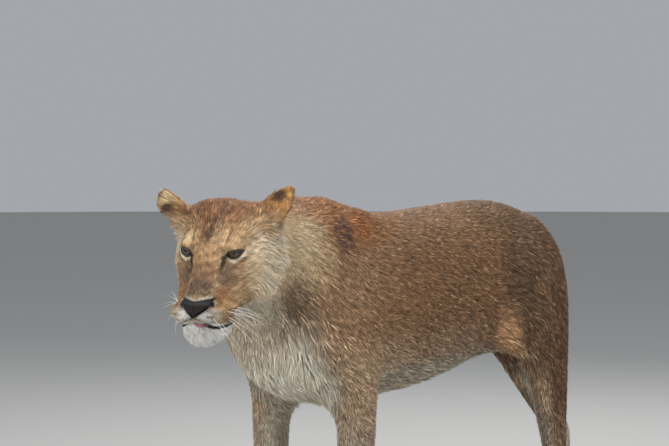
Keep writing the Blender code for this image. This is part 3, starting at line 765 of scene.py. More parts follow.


# %% [markdown]
# The face has pale brows with a dark mark, a dusky bridge of the nose, pale bags and black streaks under the
# eyes, pads with dark rows where the whiskers grow, a white chin and black lips. The crown is dark and flecked.
# Her right cheek, turned from the light, gets painted shade.

# %% Markings of the head
COLOURS |= dict(
    temple=(0.33, 0.215, 0.115), crown=(0.185, 0.094, 0.046), crown_fleck=(0.32, 0.15, 0.06),
    stripe=(0.080, 0.044, 0.030), forehead=(0.34, 0.205, 0.105), brow=(0.48, 0.31, 0.165),
    right_brow=(0.62, 0.46, 0.27), brow_mark=(0.15, 0.085, 0.045), cheekbone=(0.58, 0.44, 0.28),
    right_cheek=(0.16, 0.092, 0.050), cheek_line=(0.20, 0.125, 0.07), bridge=(0.215, 0.122, 0.066),
    muzzle=(0.078, 0.050, 0.034), reddish=(0.215, 0.090, 0.038), pad=(0.42, 0.27, 0.14), under_nose=(0.48, 0.42, 0.33),
    beside_nose=(0.33, 0.28, 0.21), whisker_row=(0.07, 0.038, 0.022), eye_bag=(0.76, 0.62, 0.46),
    dusk=(0.105, 0.064, 0.038), streak=(0.03, 0.018, 0.012))


def eye_layers(eye, at):
    ahead, out, up = eye.measure(at.head)
    rim, front = rim_distance(out, up), ahead > 0
    below = (up < lower_lid(out)) & (out > -15) & (out < 22) & front
    return [("eye_bag", step(rim, 11, 7) * below), ("dusk", step(np.abs(rim - 13), 3.5, 1) * below * 0.75),
            ("black", step(rim, 3.2 + 1.6 * (up > upper_lid(out)), 2.2) * front)]


def head_colour(at):
    x, y, z = at.fold.T
    wave, fine, fleck = ripple(at.head, 26, 5), ripple(at.head, 9, 6), ripple(at.head, 7, 8)
    crown = np.clip(at.crown + spot(at.head, (0, -15, 43), (44, 24, 26)) ** 0.5, 0, 1)
    flat = at.fold * (0, 1, 1)
    nose = pad_margin(at.head)
    above_lip = step(z + 104 + 0.62 * (119 - x), -4, 4)
    streak = (0, 37, -1), (0, 35.5, -6), (0, 33.5, -12), (0, 31.5, -20), (0, 29.5, -32)
    streak_width = np.interp(z, (-34, -20, -6), (0.2, 1.4, 3.4))
    layers = [
        ("cheek", step(x, 15, -15) * step(z, 20, -15)),
        ("cream", at.ruff * step(wave, -0.9, 0.7) * 0.85),
        ("crown", step(z + 5 * wave, 34, 50) * step(x, 12, -25) * 0.95),
        ("crown", spot(at.head, (0, -17, 43), (44, 24, 26)) ** 0.5 * 0.85),
        ("stripe", crown * step(fleck, 0.0, 0.7) * 0.75),
        ("crown_fleck", crown * step(fleck, -0.2, -0.9) * 0.6),
        ("stripe", stroke(at.head, ((20, -5, 30), (-15, 2, 51), (-70, 12, 74)), 13, 4, 4 * fine) * 0.85),
        ("forehead", step(y, 30, 20) * step(x, 20, 32) * step(x, 95, 60)),
        ("brow", spot(at.fold, (4, 44, 28), (24, 28, 17)) ** 0.6),
        ("right_brow", spot(at.head, (0, -56, 27), (22, 24, 17)) ** 0.6),
        ("cheekbone", spot(at.fold, (2, 84, -52), (32, 30, 56)) ** 0.7 * 0.8),
        ("brow_mark", stroke(flat, ((0, 36.5, 21), (0, 38.5, 36)), 4.5, 1.5) * (x > -25) * 0.8),
        ("bridge", step(y, 30, 18) * step(x, 48, 62) * step(z, -60, -30)),
        ("muzzle", step(y, 32, 18) * step(x, 70, 88) * step(x, 112, 104) * (0.75 + 0.25 * fine)),
        ("muzzle", spot(at.fold, (46, 42, -36), (34, 22, 32)) ** 0.7 * 0.8),
        ("reddish", spot(at.fold, (80, 44, -66), (30, 22, 24)) ** 0.7 * 0.85),
        # painted shade on her right cheek, the side turned from the light
        ("right_cheek", spot(at.head, (38, -66, -50), (36, 22, 36)) ** 0.6 * 0.6),
        ("pad", spot(at.fold, (92, 42, -104), (46, 36, 36)) ** 0.35),
        ("reddish", spot(at.fold, (99, 38, -72), (17, 14, 22)) ** 0.6 * (0.8 + 0.3 * fine)),
        ("under_nose", step(x, 102, 113) * step(z, -68, -80) * 0.9),
        ("white", spot(at.fold, (122, 12, -96), (24, 26, 20)) ** 0.4 * above_lip),
        ("cream", stroke(at.fold, LIP_LINE, 15, 6) * above_lip)]
    layers += [("whisker_row", stroke(at.fold, row, 3.4, 0.8) * 0.7) for row in WHISKER_ROWS]
    layers += [
        ("beside_nose", step(nose, -10, -5) * step(x, 92, 102) * step(z, -78, -70)),
        ("cream", at.on["jaw"] + (1 - at.on["jaw"]) * step(z, -128, -140) * step(x, 60, 30)),
        ("white", at.chin),
        ("cream", spot(at.fold, (40, 64, -128), (26, 20, 26)) ** 0.6),
        ("cream", spot(at.fold, (64, 66, -114), (18, 16, 18)) ** 0.6)]
    for eye in EYES.values():
        layers += eye_layers(eye, at)
    layers += [
        ("streak", stroke(flat, streak, streak_width + 3, streak_width) * (x > 0) * step(z, -40, -12)
         * step(z, 4, -1) * 0.95),
        ("dusk", stroke(at.fold, ((-3, 66, 5), (-12, 72, 9)), 4, 1) * 0.8),
        ("cheek_line", stroke(at.fold, ((-46, 92, 10), (-62, 102, -2), (-74, 112, -26)), 8, 2, 2 * fine) * 0.6),
        ("black", stroke(at.fold, PHILTRUM, 3.0, 1.8)),
        ("black", step(nose, -1.5, 0.5) * (x > 90)),
        ("black", stroke(at.fold, ((112, 29, -77), (107, 33, -71), (103, 36, -64)), 3.6, 1.6)),
        ("black", lip_skin(at.fold, 3.4, 6.4, 1.0))]
    return layered("temple", layers)


# %% [markdown]
# Each ear has a black patch on its back and a pale edge round a hollow darkened with painted shade. The right
# one opens forward, the left one is turned back. The colours of all parts then fade into each other by the parts'
# weights.

# %% Markings of the ears, and the whole
EARS = {  # root, tip and the way it opens, in the head's frame
    "left": ((-76, 68, 26.0), (-122, 147, 98.0), (-0.60, 0.15, -0.75)),
    "right": ((-70, -66, 22.0), (-80, -123, 103.0), (0.78, -0.55, 0.25)),
}
EAR_LENGTH = 99
SKIN_PAINTED_SHADE = 0.65  # painted shade in the gaps between the tufts: the skin is drawn darker than the hair over it
COLOURS |= dict(ear_back=(0.28, 0.142, 0.050), ear_inside=(0.37, 0.245, 0.13), ear_edge=(0.52, 0.285, 0.115))


def nearest_ear(at):
    """For each point its ear's axis, how far up the ear it is, and how much it faces the way the ear opens."""
    left = at.head[:, 1, None] > 0
    root, tip, opening = (np.where(left, *pair) for pair in zip(EARS["left"], EARS["right"]))
    axis = unit(tip - root)
    return axis, ((at.head - root) * axis).sum(axis=1) / EAR_LENGTH, (at.facing * unit(opening)).sum(axis=1)


def ear_colour(at):
    _, along, facing = nearest_ear(at)
    outside = layered("ear_back", (
        ("rufous", step(along, 0.5, 0.1) * 0.6),
        ("black", spot(at.head, (-103, 110, 78), (24, 24, 19)) ** 0.45),
        ("black", spot(at.head, (-95, -112, 62), (26, 30, 26)) ** 0.5)))
    inside = layered("ear_inside", (
        # painted shade deep in the hollow of the ear
        ("dark", np.clip(spot(at.fold, (-72, 112, 44), (34, 20, 21)) * 2.5, 0, 1)),
        ("ear_edge", np.maximum(step(along, 0.8, 1.0), step(at.fold[:, 1], 96, 84)))))
    return blend(outside, inside, step(facing, 0.15, 0.5))


def markings(at):
    on = at.on
    parts = (
        (on["trunk"], body_colour(at)), (on["neck"], neck_colour(at)), (at.on_head, head_colour(at)),
        (on["ear"], ear_colour(at)), (on["foreleg"], leg_colour(at, False)), (on["hindleg"], leg_colour(at, True)),
        (on["paw_front"] + on["paw_hind"], COLOURS["paw"]), (on["tail"], COLOURS["tail"]),
        (on["tail_tuft"], COLOURS["dark"]))
    return sum(weight[:, None] * colour for weight, colour in parts) / sum(weight for weight, _ in parts)[:, None]


def give_colours(obj, colours):
    layer = obj.data.color_attributes.new("Markings", "FLOAT_COLOR", "POINT")
    layer.data.foreach_set("color", np.column_stack((colours, np.ones(len(colours)))).astype(np.float32).ravel())


# the skin between the tufts is darkened as painted shade
skin_colours = markings(here) * SKIN_PAINTED_SHADE
give_colours(skin, skin_colours)
print("mean colour of the skin", skin_colours.mean(axis=0).round(3))

# %% [markdown]
# Hair grows in a direction. It runs back from the nose over the face, down into the ruff, back along the spine,
# slantwise over the flanks and down the legs. That lie is a blend of one direction for each part, laid flat on
# the skin, with slow swirls in it.

# %% The lie of the coat
LIE = dict(head=(-1, 0, 0), jaw=(-1, 0, 0), ear=(0, 0, 1), neck=(-0.80, -0.28, -0.55), trunk=(-0.90, 0.05, -0.42),
           tail=(-0.2, 0, -1), tail_tuft=(-0.1, 0, -1), foreleg=(-0.14, 0, -1), hindleg=(-0.25, 0, -1),
           paw_front=(0.8, 0, -0.6), paw_hind=(0.8, 0, -0.6))
NOSE_TIP = np.array((122, 0, -66.0))


def lie(at):
    x, y, z = at.body.T
    way = table(at.weights, LIE)
    trunk = at.on["trunk"]
    way = blend(way, (-0.62, 0, -0.78), trunk * step(x, 0.20, 0.34) * step(z, 0.92, 0.80))
    way = blend(way, (-1, 0, -0.05), trunk * step(z, 0.86, 0.92))
    way = blend(way, (-0.42, 0, -0.90), trunk * step(x, -0.25, -0.36) * step(z, 0.90, 0.75))
    way = blend(way, (-0.15, 0, -1), at.chest)
    way = blend(way, (-0.95, 0, -0.25), at.belly)
    side = np.sign(at.head[:, 1])[:, None]
    away = unit(at.head - NOSE_TIP)
    away = blend(away, (-1, 0, 0.1), at.crown)
    ruff = np.array((-0.50, 0, -0.80)) + side * np.array((0, 0.22, 0))
    away = away + (ruff - away) * np.clip(at.ruff + 0.4 * at.cheek, 0, 1)[:, None]
    for eye in EYES.values():
        ahead, out, up = eye.measure(at.head)
        towards = unit(eye.centre - at.head)
        near = step(rim_distance(out, up), 22, 7) * (ahead > 0)
        away = away - towards * (np.maximum((away * towards).sum(axis=1) + 0.25, 0) * near * 1.15)[:, None]
    way = way + (unit(away) @ SPIN.T - way) * np.clip(at.on_head * 1.4, 0, 1)[:, None]
    axis, _, facing = nearest_ear(at)
    across = axis * 0.55 + side * np.array((0, 0.85, 0))
    axis = axis + (across - axis) * step(facing, 0.2, 0.5)[:, None]
    way = way + (axis @ SPIN.T - way) * at.on["ear"][:, None]
    way = unit(way - at.normal * (way * at.normal).sum(axis=1, keepdims=True))
    way = unit(way + at.on["tail_tuft"][:, None] * np.array((0, 0, -1.6)))
    swirl = 0.22 * ripple(at.body, 0.07, 11) + 0.12 * ripple(at.body, 0.022, 12)
    return way * np.cos(swirl)[:, None] + np.cross(at.normal, way) * np.sin(swirl)[:, None]


# %% [markdown]
# Hair also has a length, a thickness of its tufts and a lift off the skin: millimetres on the muzzle, a hand's
# breadth in the tail's tuft. Lids, lips, nose and soles are bare.

# %% How long the coat is
HAIR = dict(  # length and width of the tufts in millimetres, and their lift off the skin in degrees
    head=(8, 1.4, 12), jaw=(11, 1.7, 13), ear=(9, 1.7, 8), neck=(18, 2.6, 13), trunk=(13.5, 2.45, 11),
    tail=(15, 2.4, 12), tail_tuft=(70, 3.6, 6), foreleg=(12, 2.2, 11), hindleg=(13, 2.4, 11),
    paw_front=(8, 1.9, 12), paw_hind=(8, 1.9, 12))


def hair(at):
    """Length and width of the tufts in millimetres, and their lift in radians."""
    on, measures = at.on, table(at.weights, HAIR)
    toes = (on["paw_front"] + on["paw_hind"]) * toe_share(at.body + np.array(BODY_AT))[0]
    muzzle = at.on_head * step(at.fold[:, 0], 20, 70)
    lids, lips = step(off_lids(at.head), 16, 5), lip_skin(at.fold, 4, 10, 8) * at.on_head
    for mask, values in (
            (toes, (5.5, 1.6, 11)), (muzzle, (5, 1.15, 12)), (at.cheek, (15, 1.5, 12)), (at.crown, (14, 1.8, 14)),
            (at.ruff, (30, 1.75, 12)), (at.chin, (13, 1.7, 16)), (at.chest, (42, 3.0, 10)),
            (at.belly, (36, 3.0, 10)), (lids, (4.0, 1.1, 9)), (lips, (4.5, 1.2, 12))):
        measures = blend(measures, values, mask)
    length, width, lift = measures.T
    return length, width, np.radians(lift)


def bare(at):
    """Where no hair grows: on the lips, the soles, the pad of the nose and the rims of the lids."""
    lips = (lip_skin(at.fold, 2.4, 6.0, 0.1) > 0.5) | (line_distance(at.fold, PHILTRUM) < 1.7)
    sole = (at.body[:, 2] < 0.004) & (at.normal[:, 2] < -0.3)
    nose = (pad_margin(at.head) > -0.3) & (at.head[:, 0] > 90)
    return lips | sole | nose | (off_lids(at.head) < 2.6)


skin_length, skin_width, _ = hair(here)
crowding = (1.0 - bare(here)) / (skin_width * np.sqrt(skin_length))
skin.data.calc_loop_triangles()
triangles = np.empty(len(skin.data.loop_triangles) * 3, np.int32)
skin.data.loop_triangles.foreach_get("vertices", triangles)
triangles = triangles.reshape(-1, 3)
a, b, c = (points[triangles[:, k]] for k in range(3))
areas = np.linalg.norm(np.cross(b - a, c - a), axis=1) / 2
print("coat covers", round(float(areas.sum()), 2), "square metres, on", len(triangles), "triangles")

# %% [markdown]
# A tuft is a thin closed spike: a base of three points sunk in the skin and a tip. Long hair has a joint halfway,
# so that it can stand up at the root and fall at the end. Every tuft has a small patch of the OFBake map where its
# root lies on the skin, unrolled round the long axis of its part.

# %% The shape of a tuft
PATCH = 0.003
SUNK, LOWEST = 0.4 * MM, 0.8 * MM  # the depth of a root, and the height over the floor where hair ends
BASE = ((-0.5, 0.0), (0.5, 0.0), (0.0, 0.42))  # across and up, in tuft widths
JOINT = ((-0.42, 0.0), (0.42, 0.0), (0.0, 0.30))
# darker roots are painted shade deep in the coat, lighter joints and tips are painted light on its top
ROOT_PAINTED_SHADE, JOINT_PAINTED_LIGHT, TIP_PAINTED_LIGHT = [0.48, 0.48, 0.80], [1.0, 1.0, 1.08], [1.2]


def tuft_faces(joints):
    rings = [(3 * k, 3 * k + 1, 3 * k + 2) for k in range(joints + 1)]
    tip = 3 * (joints + 1)
    faces = [(1, 0, 2)]
    for (a, b, c), (d, e, f) in zip(rings, rings[1:]):
        faces += [(a, b, e), (a, e, d), (b, c, f), (b, f, e), (c, a, d), (c, d, f)]
    a, b, c = rings[-1]
    return np.array(faces + [(a, b, tip), (b, c, tip), (c, a, tip)])


def mesh_of(name, corners, faces):
    mesh = bpy.data.meshes.new(name)
    mesh.vertices.add(len(corners))
    mesh.vertices.foreach_set("co", corners.astype(np.float32).ravel())
    mesh.loops.add(faces.size)
    mesh.loops.foreach_set("vertex_index", faces.astype(np.int32).ravel())
    mesh.polygons.add(len(faces))
    mesh.polygons.foreach_set("loop_start", np.arange(0, faces.size, 3, dtype=np.int32))
    mesh.update(calc_edges=True)
    mesh.shade_smooth()
    made = bpy.data.objects.new(name, mesh)
    bpy.context.scene.collection.objects.link(made)
    return made


def unrolled(body, name):
    """Where a root lies on the skin unrolled round the part's own long axis, from 0 to 1."""
    upright = any(word in name for word in ("leg", "tail", "paw"))
    along, u, v = (2, 0, 1) if upright else (0, 1, 2)
    low, high = body.min(axis=0), body.max(axis=0)
    share = (body - low) / (high - low)
    lobes = share - 0.5
    if upright:
        half = np.sign(lobes[:, 1])
        lobes[:, 1] -= half * 0.3
    turn = np.arctan2(lobes[:, v], lobes[:, u]) / (2 * math.pi) + 0.5
    if upright:
        turn = turn / 2 + (half + 1) / 4
    return np.column_stack((0.01 + 0.97 * share[:, along], 0.01 + 0.97 * turn))


def patches(roots, name, size):
    """A patch of the map for every tuft, with a place in it for each of the tuft's corners."""
    corners = np.random.default_rng(5).random((size, 2)) * PATCH
    corners[:3] = ((0, 0), (PATCH, 0), (PATCH / 2, PATCH / 2))
    corners[-1] = (PATCH / 2, PATCH)
    return (unrolled(roots, name)[:, None] + corners[None]).reshape(-1, 2)


# %% [markdown]
# Roots are drawn over the skin's triangles by area, more of them where the hair is fine. No two tufts are quite
# alike: length, width, lift, direction and tone vary, more in dark hair than in pale. The shading normals lean
# to the skin's, which keeps the coat soft. Each tuft is painted darker at its root and lighter at its tip: painted
# shade deep in the coat and painted light on its top.

# %% Growing tufts
coat_paint = Paint("coat")
coat_paint.set(Roughness=0.6, Specular_IOR_Level=0.16, Base_Color=coat_paint.attribute("Markings"))


def grow(name, where, count, seed, joints=0, scale=1.0, stand=0.0, tint=None):
    """Covers a part of the skin with that many tufts."""
    random = np.random.default_rng(seed)
    run = np.cumsum(areas * (where * crowding)[triangles].mean(axis=1))
    picked = np.searchsorted(run, (np.arange(count) + random.random(count)) / count * run[-1])
    picked = triangles[np.minimum(picked, len(triangles) - 1)]
    share = random.dirichlet((1, 1, 1), count)

    def at_root(values):
        return (values[picked] * share.reshape(count, 3, *([1] * (values.ndim - 1)))).sum(axis=1)

    root, normal = at_root(points), unit(at_root(normals))
    at = Place(root, normal, at_root(weights))
    way = lie(at)
    length, width, lift = hair(at)
    length = length * scale * np.exp(np.clip(random.normal(0, 0.22, count), -0.4, 0.34)) * MM
    width = width * np.exp(random.normal(0, 0.18, count)) * MM
    lift = lift * random.uniform(0.4, 1.5, count) + stand
    turn = random.normal(0, 0.13, count)
    way = way * np.cos(turn)[:, None] + np.cross(normal, way) * np.sin(turn)[:, None]
    across = np.cross(normal, way)

    def point(side, rise, along, height):
        return (root + across * (side * width)[:, None] + normal * (rise * width + height)[:, None]
                + way * along[:, None])

    none, tip_height = np.zeros(count), length * np.sin(lift)
    corners = [point(s, r, none, none - SUNK) for s, r in BASE]
    if joints:
        corners += [point(s, r, length * 0.5, tip_height * 0.75) for s, r in JOINT]
    corners.append(point(0, 0, length * np.cos(lift), tip_height))
    size = len(corners)
    tilts = [(-0.45, 0), (0.45, 0), (0, 0)] * (joints + 1) + [(0, 0.35)]
    soft = normal + random.normal(0, 0.24, (count, 3))
    shading = [unit(soft + across * s + way * w) for s, w in tilts]
    corners = np.stack(corners, axis=1).reshape(-1, 3)
    corners[:, 2] = np.maximum(corners[:, 2], LOWEST)
    faces = (tuft_faces(joints)[None] + (np.arange(count) * size)[:, None, None]).reshape(-1, 3)
    coat = mesh_of(name, corners, faces)

    colour = markings(at) if tint is None else np.tile(tint, (count, 1))
    spread = (0.46 - 0.28 * step(colour[:, 2], 0.10, 0.35)) * (1 - 0.35 * at.on_head * (1 - at.crown))
    tone = np.exp(random.normal(0, 1, count) * spread) * (1 + 0.24 * ripple(at.body, 0.014, 21))
    # painted shade at the root and painted light at the tip of every tuft
    painted_light_and_shade = ROOT_PAINTED_SHADE + JOINT_PAINTED_LIGHT * joints + TIP_PAINTED_LIGHT
    colours = np.stack([colour * (tone * shade)[:, None] for shade in painted_light_and_shade], axis=1).reshape(-1, 3)
    give_colours(coat, np.clip(colours, 0, 0.95))
    uv = patches(at.body, name, size)[faces.ravel()]
    coat.data.uv_layers.new(name="OFBake").data.foreach_set("uv", uv.astype(np.float32).ravel())
    coat.data.normals_split_custom_set_from_vertices(np.stack(shading, axis=1).reshape(-1, 3))
    dress(coat, coat_paint, "coat")
    print(name, len(faces), "triangles")


# %% [markdown]
# The skin itself is matt and a little mottled. Then the coat is laid piece by piece. Chest and belly have long
# hair with a joint, as the ruff and the tail's tuft do, and a few long pale hairs grow at the inner edge of the
# hollows of the ears.

# %% Skin and coat
skin_paint = Paint("skin")
mottle = skin_paint.noise(420, 4)
mottled = skin_paint.ramp(mottle, (0.3, (0.55, 0.5, 0.45)), (0.7, (1, 1, 1)))
skin_paint.set(Roughness=0.8, Specular_IOR_Level=0.2, Normal=skin_paint.bump(mottle, 0.0012),
               Base_Color=skin_paint.blend("MULTIPLY", 0.7, skin_paint.attribute("Markings"), mottled))
skin.data.shade_smooth()
dress(skin, skin_paint, "coat", *FLESH)

on = here.on
left, front = step(here.body[:, 1], -0.002, 0.002), step(here.body[:, 0], 0.088, 0.092)
right, rear = 1 - left, 1 - front
long_body = np.clip(here.chest + here.belly, 0, 1)
trunk = on["trunk"] * (1 - 0.8 * long_body)
throat = on["neck"] * step(here.body[:, 2], 0.72, 0.66)
face = here.on_head * (1 - here.ruff)
_, up_ear, opening = nearest_ear(here)
hollow = on["ear"] * step(opening, 0.2, 0.5)
inner_edge = step(np.abs(here.head[:, 1] - 1), 112, 90) * step(up_ear, 0.95, 0.75)
ear_hair = (on["ear"] > 0.8) * step(opening, 0.45, 0.7) * inner_edge * step(up_ear, 0.42, 0.55)
COATS = (  # name, where it grows, tufts, seed and what else is its own
    ("trunk_front_left", trunk * (left * front), 33500, 31, {}),
    ("trunk_front_right", trunk * (right * front), 33500, 32, {}),
    ("trunk_rear_left", trunk * (left * rear), 33500, 33, {}),
    ("trunk_rear_right", trunk * (right * rear), 33500, 34, {}),
    ("underside", long_body * on["trunk"] + throat, 12000, 41, {"joints": 1}),
    ("neck", on["neck"], 34000, 42, {}),
    ("face", face * (1 - here.crown), 46000, 43, {}),
    ("crown", face * here.crown, 14000, 44, {}),
    ("ruff", here.ruff, 14000, 45, {"joints": 1}),
    ("ears", on["ear"] * (1 - 0.5 * hollow), 12000, 46, {}),
    ("ear_hair", ear_hair, 200, 51, {"joints": 1, "scale": 2.7, "stand": 0.05, "tint": (0.60, 0.45, 0.25)}),
    ("forelegs", on["foreleg"] + on["paw_front"], 26000, 47, {}),
    ("hindlegs", on["hindleg"] + on["paw_hind"], 27000, 48, {}),
    ("tail", on["tail"], 8000, 49, {}),
    ("tail_tuft", on["tail_tuft"], 2500, 50, {"joints": 1}),
)
for name, where, count, seed, own in COATS:
    grow("coat_" + name, where, count, seed, **own)

# %% [markdown]
# An eyeball is a glossy ball with a slight bulge in front. Its pattern is told from the angle off its gaze:
# a round pupil, an amber iris with fine spokes, a dark ring and a brownish white that hardly shows. Iris and white
# are drawn much darker than their own colours, as painted shade from the brow and the lids.

# %% Eyes
IRIS_EDGE, CORNEA = 31.0, 1.0  # degrees off the gaze, and the bulge in millimetres
GAZE_OUT, GAZE_UP = 15, 0.30

eye_paint = Paint("eye")
spokes = eye_paint.noise(900, 2)
# the iris and the white are much darker than their own colours: painted shade from the brow and the lids
rings = eye_paint.ramp(
    eye_paint.attribute("Angle", "Fac") + (spokes - 0.5) * 0.03,
    (0.0, (0.002, 0.002, 0.002)), (0.13, (0.002, 0.002, 0.002)), (0.155, (0.045, 0.026, 0.010)),
    (0.25, (0.088, 0.056, 0.022)), (0.33, (0.045, 0.028, 0.012)), (0.365, (0.008, 0.006, 0.005)),
    (0.46, (0.040, 0.026, 0.020)))
eye_paint.set(Base_Color=rings, Roughness=0.12, Specular_IOR_Level=0.25, Coat_Weight=0.5, Coat_Roughness=0.03)


def add_ball(name, radius, segments, rings):
    bpy.ops.object.select_all(action="DESELECT")
    bpy.ops.mesh.primitive_uv_sphere_add(segments=segments, ring_count=rings, radius=radius)
    made = bpy.context.object
    made.name = made.data.name = name
    made.data.shade_smooth()
    return made


for side, eye in EYES.items():
    ball = add_ball("eyeball_" + side, EYE_RADIUS, 48, 60)
    places, _ = read(ball)
    off = np.degrees(np.arccos(np.clip(places[:, 2] / EYE_RADIUS, -1, 1)))
    places *= (1 + CORNEA / EYE_RADIUS * step(off, IRIS_EDGE + 4, 8))[:, None]
    gaze_turn = math.radians(GAZE_OUT) * SIDES[side]
    gaze = np.array((math.cos(gaze_turn), math.sin(gaze_turn), GAZE_UP))
    gaze /= np.linalg.norm(gaze)
    aside = unit(np.cross((0, 0, 1), gaze)[None])[0]
    write(ball, from_head(eye.centre + places @ np.stack((aside, np.cross(gaze, aside), gaze))))
    layer = ball.data.attributes.new("Angle", "FLOAT", "POINT")
    layer.data.foreach_set("value", (off / 90).astype(np.float32))
    dress(ball, eye_paint, "eye", "eye_" + side)
    print(ball.name, "looks along", gaze.round(2))

# %% [markdown]
# The rims of the lids and the lips are bare black skin, always a little wet. Each is a soft tube of flesh along
# its edge, thicker at the inner corner of the eye, where the tear duct is.

# %% Rims of the lids, and lips
rim_paint = Paint("dark_skin")
rim_paint.set(Base_Color=(0.012, 0.009, 0.008, 1), Roughness=0.38, Normal=rim_paint.bump(rim_paint.noise(1500), 0.0003))


def tube(name, route, radii, closed=False, slot="nose", paint=rim_paint, around=10, place=from_head):
    """A tube of changing thickness along a route, in the head's frame unless place says otherwise."""
    ahead = np.roll(route, -1, axis=0) - np.roll(route, 1, axis=0)
    if not closed:
        ahead[0], ahead[-1] = route[1] - route[0], route[-1] - route[-2]
    first = unit(np.cross(unit(ahead), np.array((0.3, 0.2, 1.0))))
    second = np.cross(unit(ahead), first)
    turns = np.arange(around) * 2 * math.pi / around
    ring = first[:, None] * np.cos(turns)[None, :, None] + second[:, None] * np.sin(turns)[None, :, None]
    corners = (route[:, None] + ring * radii[:, None, None]).reshape(-1, 3)
    i, j = np.meshgrid(np.arange(len(route) if closed else len(route) - 1), np.arange(around), indexing="ij")
    ring_at, next_ring, next_turn = i * around, (i + 1) % len(route) * around, (j + 1) % around
    a, b, c, d = ring_at + j, ring_at + next_turn, next_ring + j, next_ring + next_turn
    faces = np.concatenate([np.stack(corner, axis=-1).reshape(-1, 3) for corner in ((a, b, d), (a, d, c))])
    if not closed:
        last = (len(route) - 1) * around
        fans = [(0, k + 1, k) for k in range(1, around - 1)]
        fans += [(last, last + k, last + k + 1) for k in range(1, around - 1)]
        faces = np.concatenate((faces, np.array(fans)))
    dress(mesh_of(name, place(corners), faces), paint, slot)


def along(route, count):
    """That many even places along a smooth route."""
    route = np.array(route, float)
    reach = np.concatenate(((0,), np.cumsum(np.linalg.norm(np.diff(route, axis=0), axis=1))))
    where = np.linspace(0, reach[-1], count)
    return np.stack([np.interp(where, reach, route[:, k]) for k in range(3)], axis=1)


HALF = 40  # points along each lid and each side of the lips
for side, eye in EYES.items():
    outs = LID_HALF_WIDTH * np.cos(np.linspace(0, math.pi, HALF))
    outs = np.concatenate((outs, outs[-2:0:-1]))
    ups = np.concatenate((upper_lid(outs[:HALF]), lower_lid(outs[HALF:])))
    aheads = np.sqrt((EYE_RADIUS + 1.0) ** 2 - outs ** 2 - ups ** 2)
    route = eye.centre + aheads[:, None] * eye.ahead + outs[:, None] * eye.out + ups[:, None] * eye.up
    thick = 1.05 + 1.0 * step(outs, -9, -16.5) + 0.4 * (np.arange(len(outs)) < HALF)
    tube("lid_rim_" + side, route, thick, closed=True)

for side, s in SIDES.items():
    route = np.array([on_skin(p, 0.4)[0] for p in along(LIP_LINE * (1, s, 1), HALF)])
    route = ((route + np.roll(route, 1, axis=0) + np.roll(route, -1, axis=0)) / 3)[1:-1]
    thick = np.interp(np.arange(len(route)), (0, 8, 30, 37), (1.8, 2.6, 3.4, 1.4))
    tube("lip_" + side, route, thick)
print("lids and lips:", 2 * len(SIDES), "tubes")

# %% [markdown]
# The nose pad is naked leather. Its solid is fused again with a finer grain, rounded, and the nostrils are
# pressed in as commas that open to the sides, with a crease down the middle.

# %% Nose
NOSTRIL = ((0, 5.5, -88), (0, 9.5, -85.5), (0, 16, -80), (0, 24, -74.5), (0, 31, -72))
NOSE_CREASE = ((0, 0, -66), (0, 0, -100))

nose = copy_of(["nose"], "nose_pad")
fuse(nose, 0.2 * MM, 1.2 * MM)
write(nose, Web(nose).spread(read(nose)[0], 10, 0.5))
nose_points, nose_normals = read(nose)
head = to_head(nose_points)
head[:, 1] -= lean(head) * SWAY
inward = -(nose_normals @ SPIN)
margin = pad_margin(head)
head = head + inward * (7.0 * step(margin, 1.5, -3.0) - 1.0 * step(np.abs(margin - 2.5), 2.5, 0.5))[:, None]
flat = mirrored(head) * (0, 1, 1)
head = head + inward * (6.5 * stroke(flat, NOSTRIL, 4.2, 0.6) + 1.8 * stroke(flat, NOSE_CREASE, 3.2, 0.3))[:, None]
write(nose, from_head(head))
nose_paint = Paint("nose")
cells = nose_paint.node("ShaderNodeTexVoronoi", {"feature": "DISTANCE_TO_EDGE"},
                        {"Vector": nose_paint.place(), "Scale": 620}, "Distance")
nose_paint.set(Base_Color=nose_paint.ramp(cells, (0.0, (0.005, 0.004, 0.004)), (0.5, (0.014, 0.011, 0.010))),
               Roughness=0.5, Specular_IOR_Level=0.3, Normal=nose_paint.bump(cells, 0.0006))
nose.data.shade_smooth()
dress(nose, nose_paint, "nose", "nose")
print("nose pad:", len(nose.data.polygons), "faces")

# %% [markdown]
# The tip of the tongue rests between the lips, a little to her left.

# %% Tongue
TONGUE_AT, TONGUE_SIZE, TONGUE_ROLL, TONGUE_PITCH = (101, 9, -113.5), (17, 17, 3.6), -15, 24

tongue = add_ball("tongue_tip", 1, 40, 24)
places = read(tongue)[0] * TONGUE_SIZE
places[:, 2] -= 1.2 * step(np.abs(places[:, 1]), 4, 0) * (places[:, 2] > 0)
roll = np.array(Matrix.Rotation(math.radians(TONGUE_ROLL), 3, "X")
                @ Matrix.Rotation(math.radians(TONGUE_PITCH), 3, "Y"))
write(tongue, from_head(places @ roll.T + TONGUE_AT))
tongue_paint = Paint("tongue")
papillae = tongue_paint.noise(1400, 2)
tongue_paint.set(Base_Color=tongue_paint.blend("MIX", papillae, (0.16, 0.055, 0.065, 1), (0.28, 0.12, 0.13, 1)),
                 Roughness=0.32, Normal=tongue_paint.bump(papillae, 0.0005))
dress(tongue, tongue_paint, "tongue", "tongue")
print("tongue:", TONGUE_SIZE, "mm")

# %% [markdown]
# Whiskers are stiff white bristles that grow from the spots of the pads and sweep back and down.

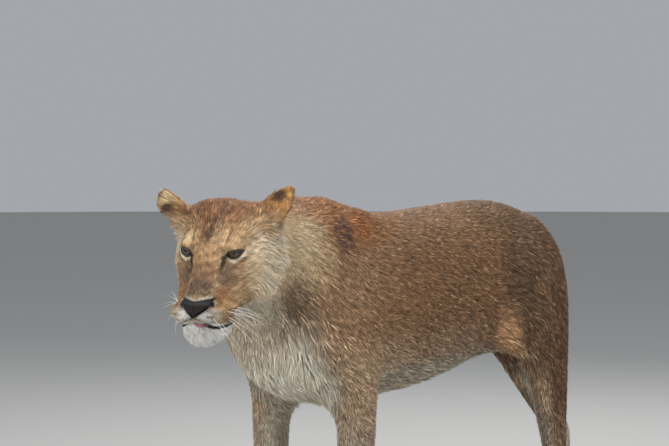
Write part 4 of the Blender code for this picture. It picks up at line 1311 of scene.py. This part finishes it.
# %% Whiskers
whisker_paint = Paint("whisker")
whisker_paint.set(Base_Color=(0.80, 0.78, 0.74, 1), Roughness=0.35)
SAG = np.array((-6, 0, -16))
ROWS, COLUMNS = 3, 4

random = np.random.default_rng(7)
for side, s in SIDES.items():
    for row in range(ROWS):
        for column in range(COLUMNS):
            root, normal = on_skin(whisker_root(row, column + 1, s), 1.5)
            way = unit((normal + np.array((-0.9, 0.15 * s, -0.45 - 0.2 * row)))[None])[0]
            length = random.uniform(48, 78)
            t = np.linspace(0, 1, 10)[:, None]
            tube(f"whisker_{side}_{row}_{column}", root + way * t * length + SAG * t ** 2, 0.45 * (1 - 0.8 * t[:, 0]),
                 slot="pale", paint=whisker_paint, around=5)
print("whiskers:", ROWS * COLUMNS, "on each side")

# %% [markdown]
# A lion's claws are drawn in when she walks, so only their horn tips show between the hairs of each toe.

# %% Claws
claw_paint = Paint("claw")
horn = claw_paint.noise(300, 2, (1, 1, 0.3))
claw_paint.set(Base_Color=claw_paint.blend("MIX", horn, (0.055, 0.040, 0.030, 1), (0.20, 0.15, 0.11, 1)),
               Roughness=0.35, Normal=claw_paint.bump(horn, 0.0003))
CLAW = along(((-6, 0, 0), (0, 0, 1.2), (5, 0, 0.4), (9, 0, -2.4), (11, 0, -6.0)), 9)  # forward and up, in millimetres
TOES, CLAW_HEIGHT = (-0.35, -0.117, 0.117, 0.35), 0.021
for paw in PAWS:
    low, high = (np.array(corner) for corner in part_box(paw))
    for k, share in enumerate(TOES):
        start = Vector((high[0] + 0.05, (low[1] + high[1]) / 2 + share * (high[1] - low[1]), CLAW_HEIGHT))
        hit = skin_tree.ray_cast(start, Vector((-1, 0, 0)))[0]
        bent = CLAW + np.outer(0.5 * share * CLAW[:, 0], (0, 1, 0))
        tube(f"claw_{paw[4:]}_{k}", bent + np.array(hit) / MM, np.linspace(2.6, 0.3, 9), slot="dark",
             paint=claw_paint, around=8, place=lambda corners: corners * MM)
print("claws:", len(TOES) * len(PAWS))
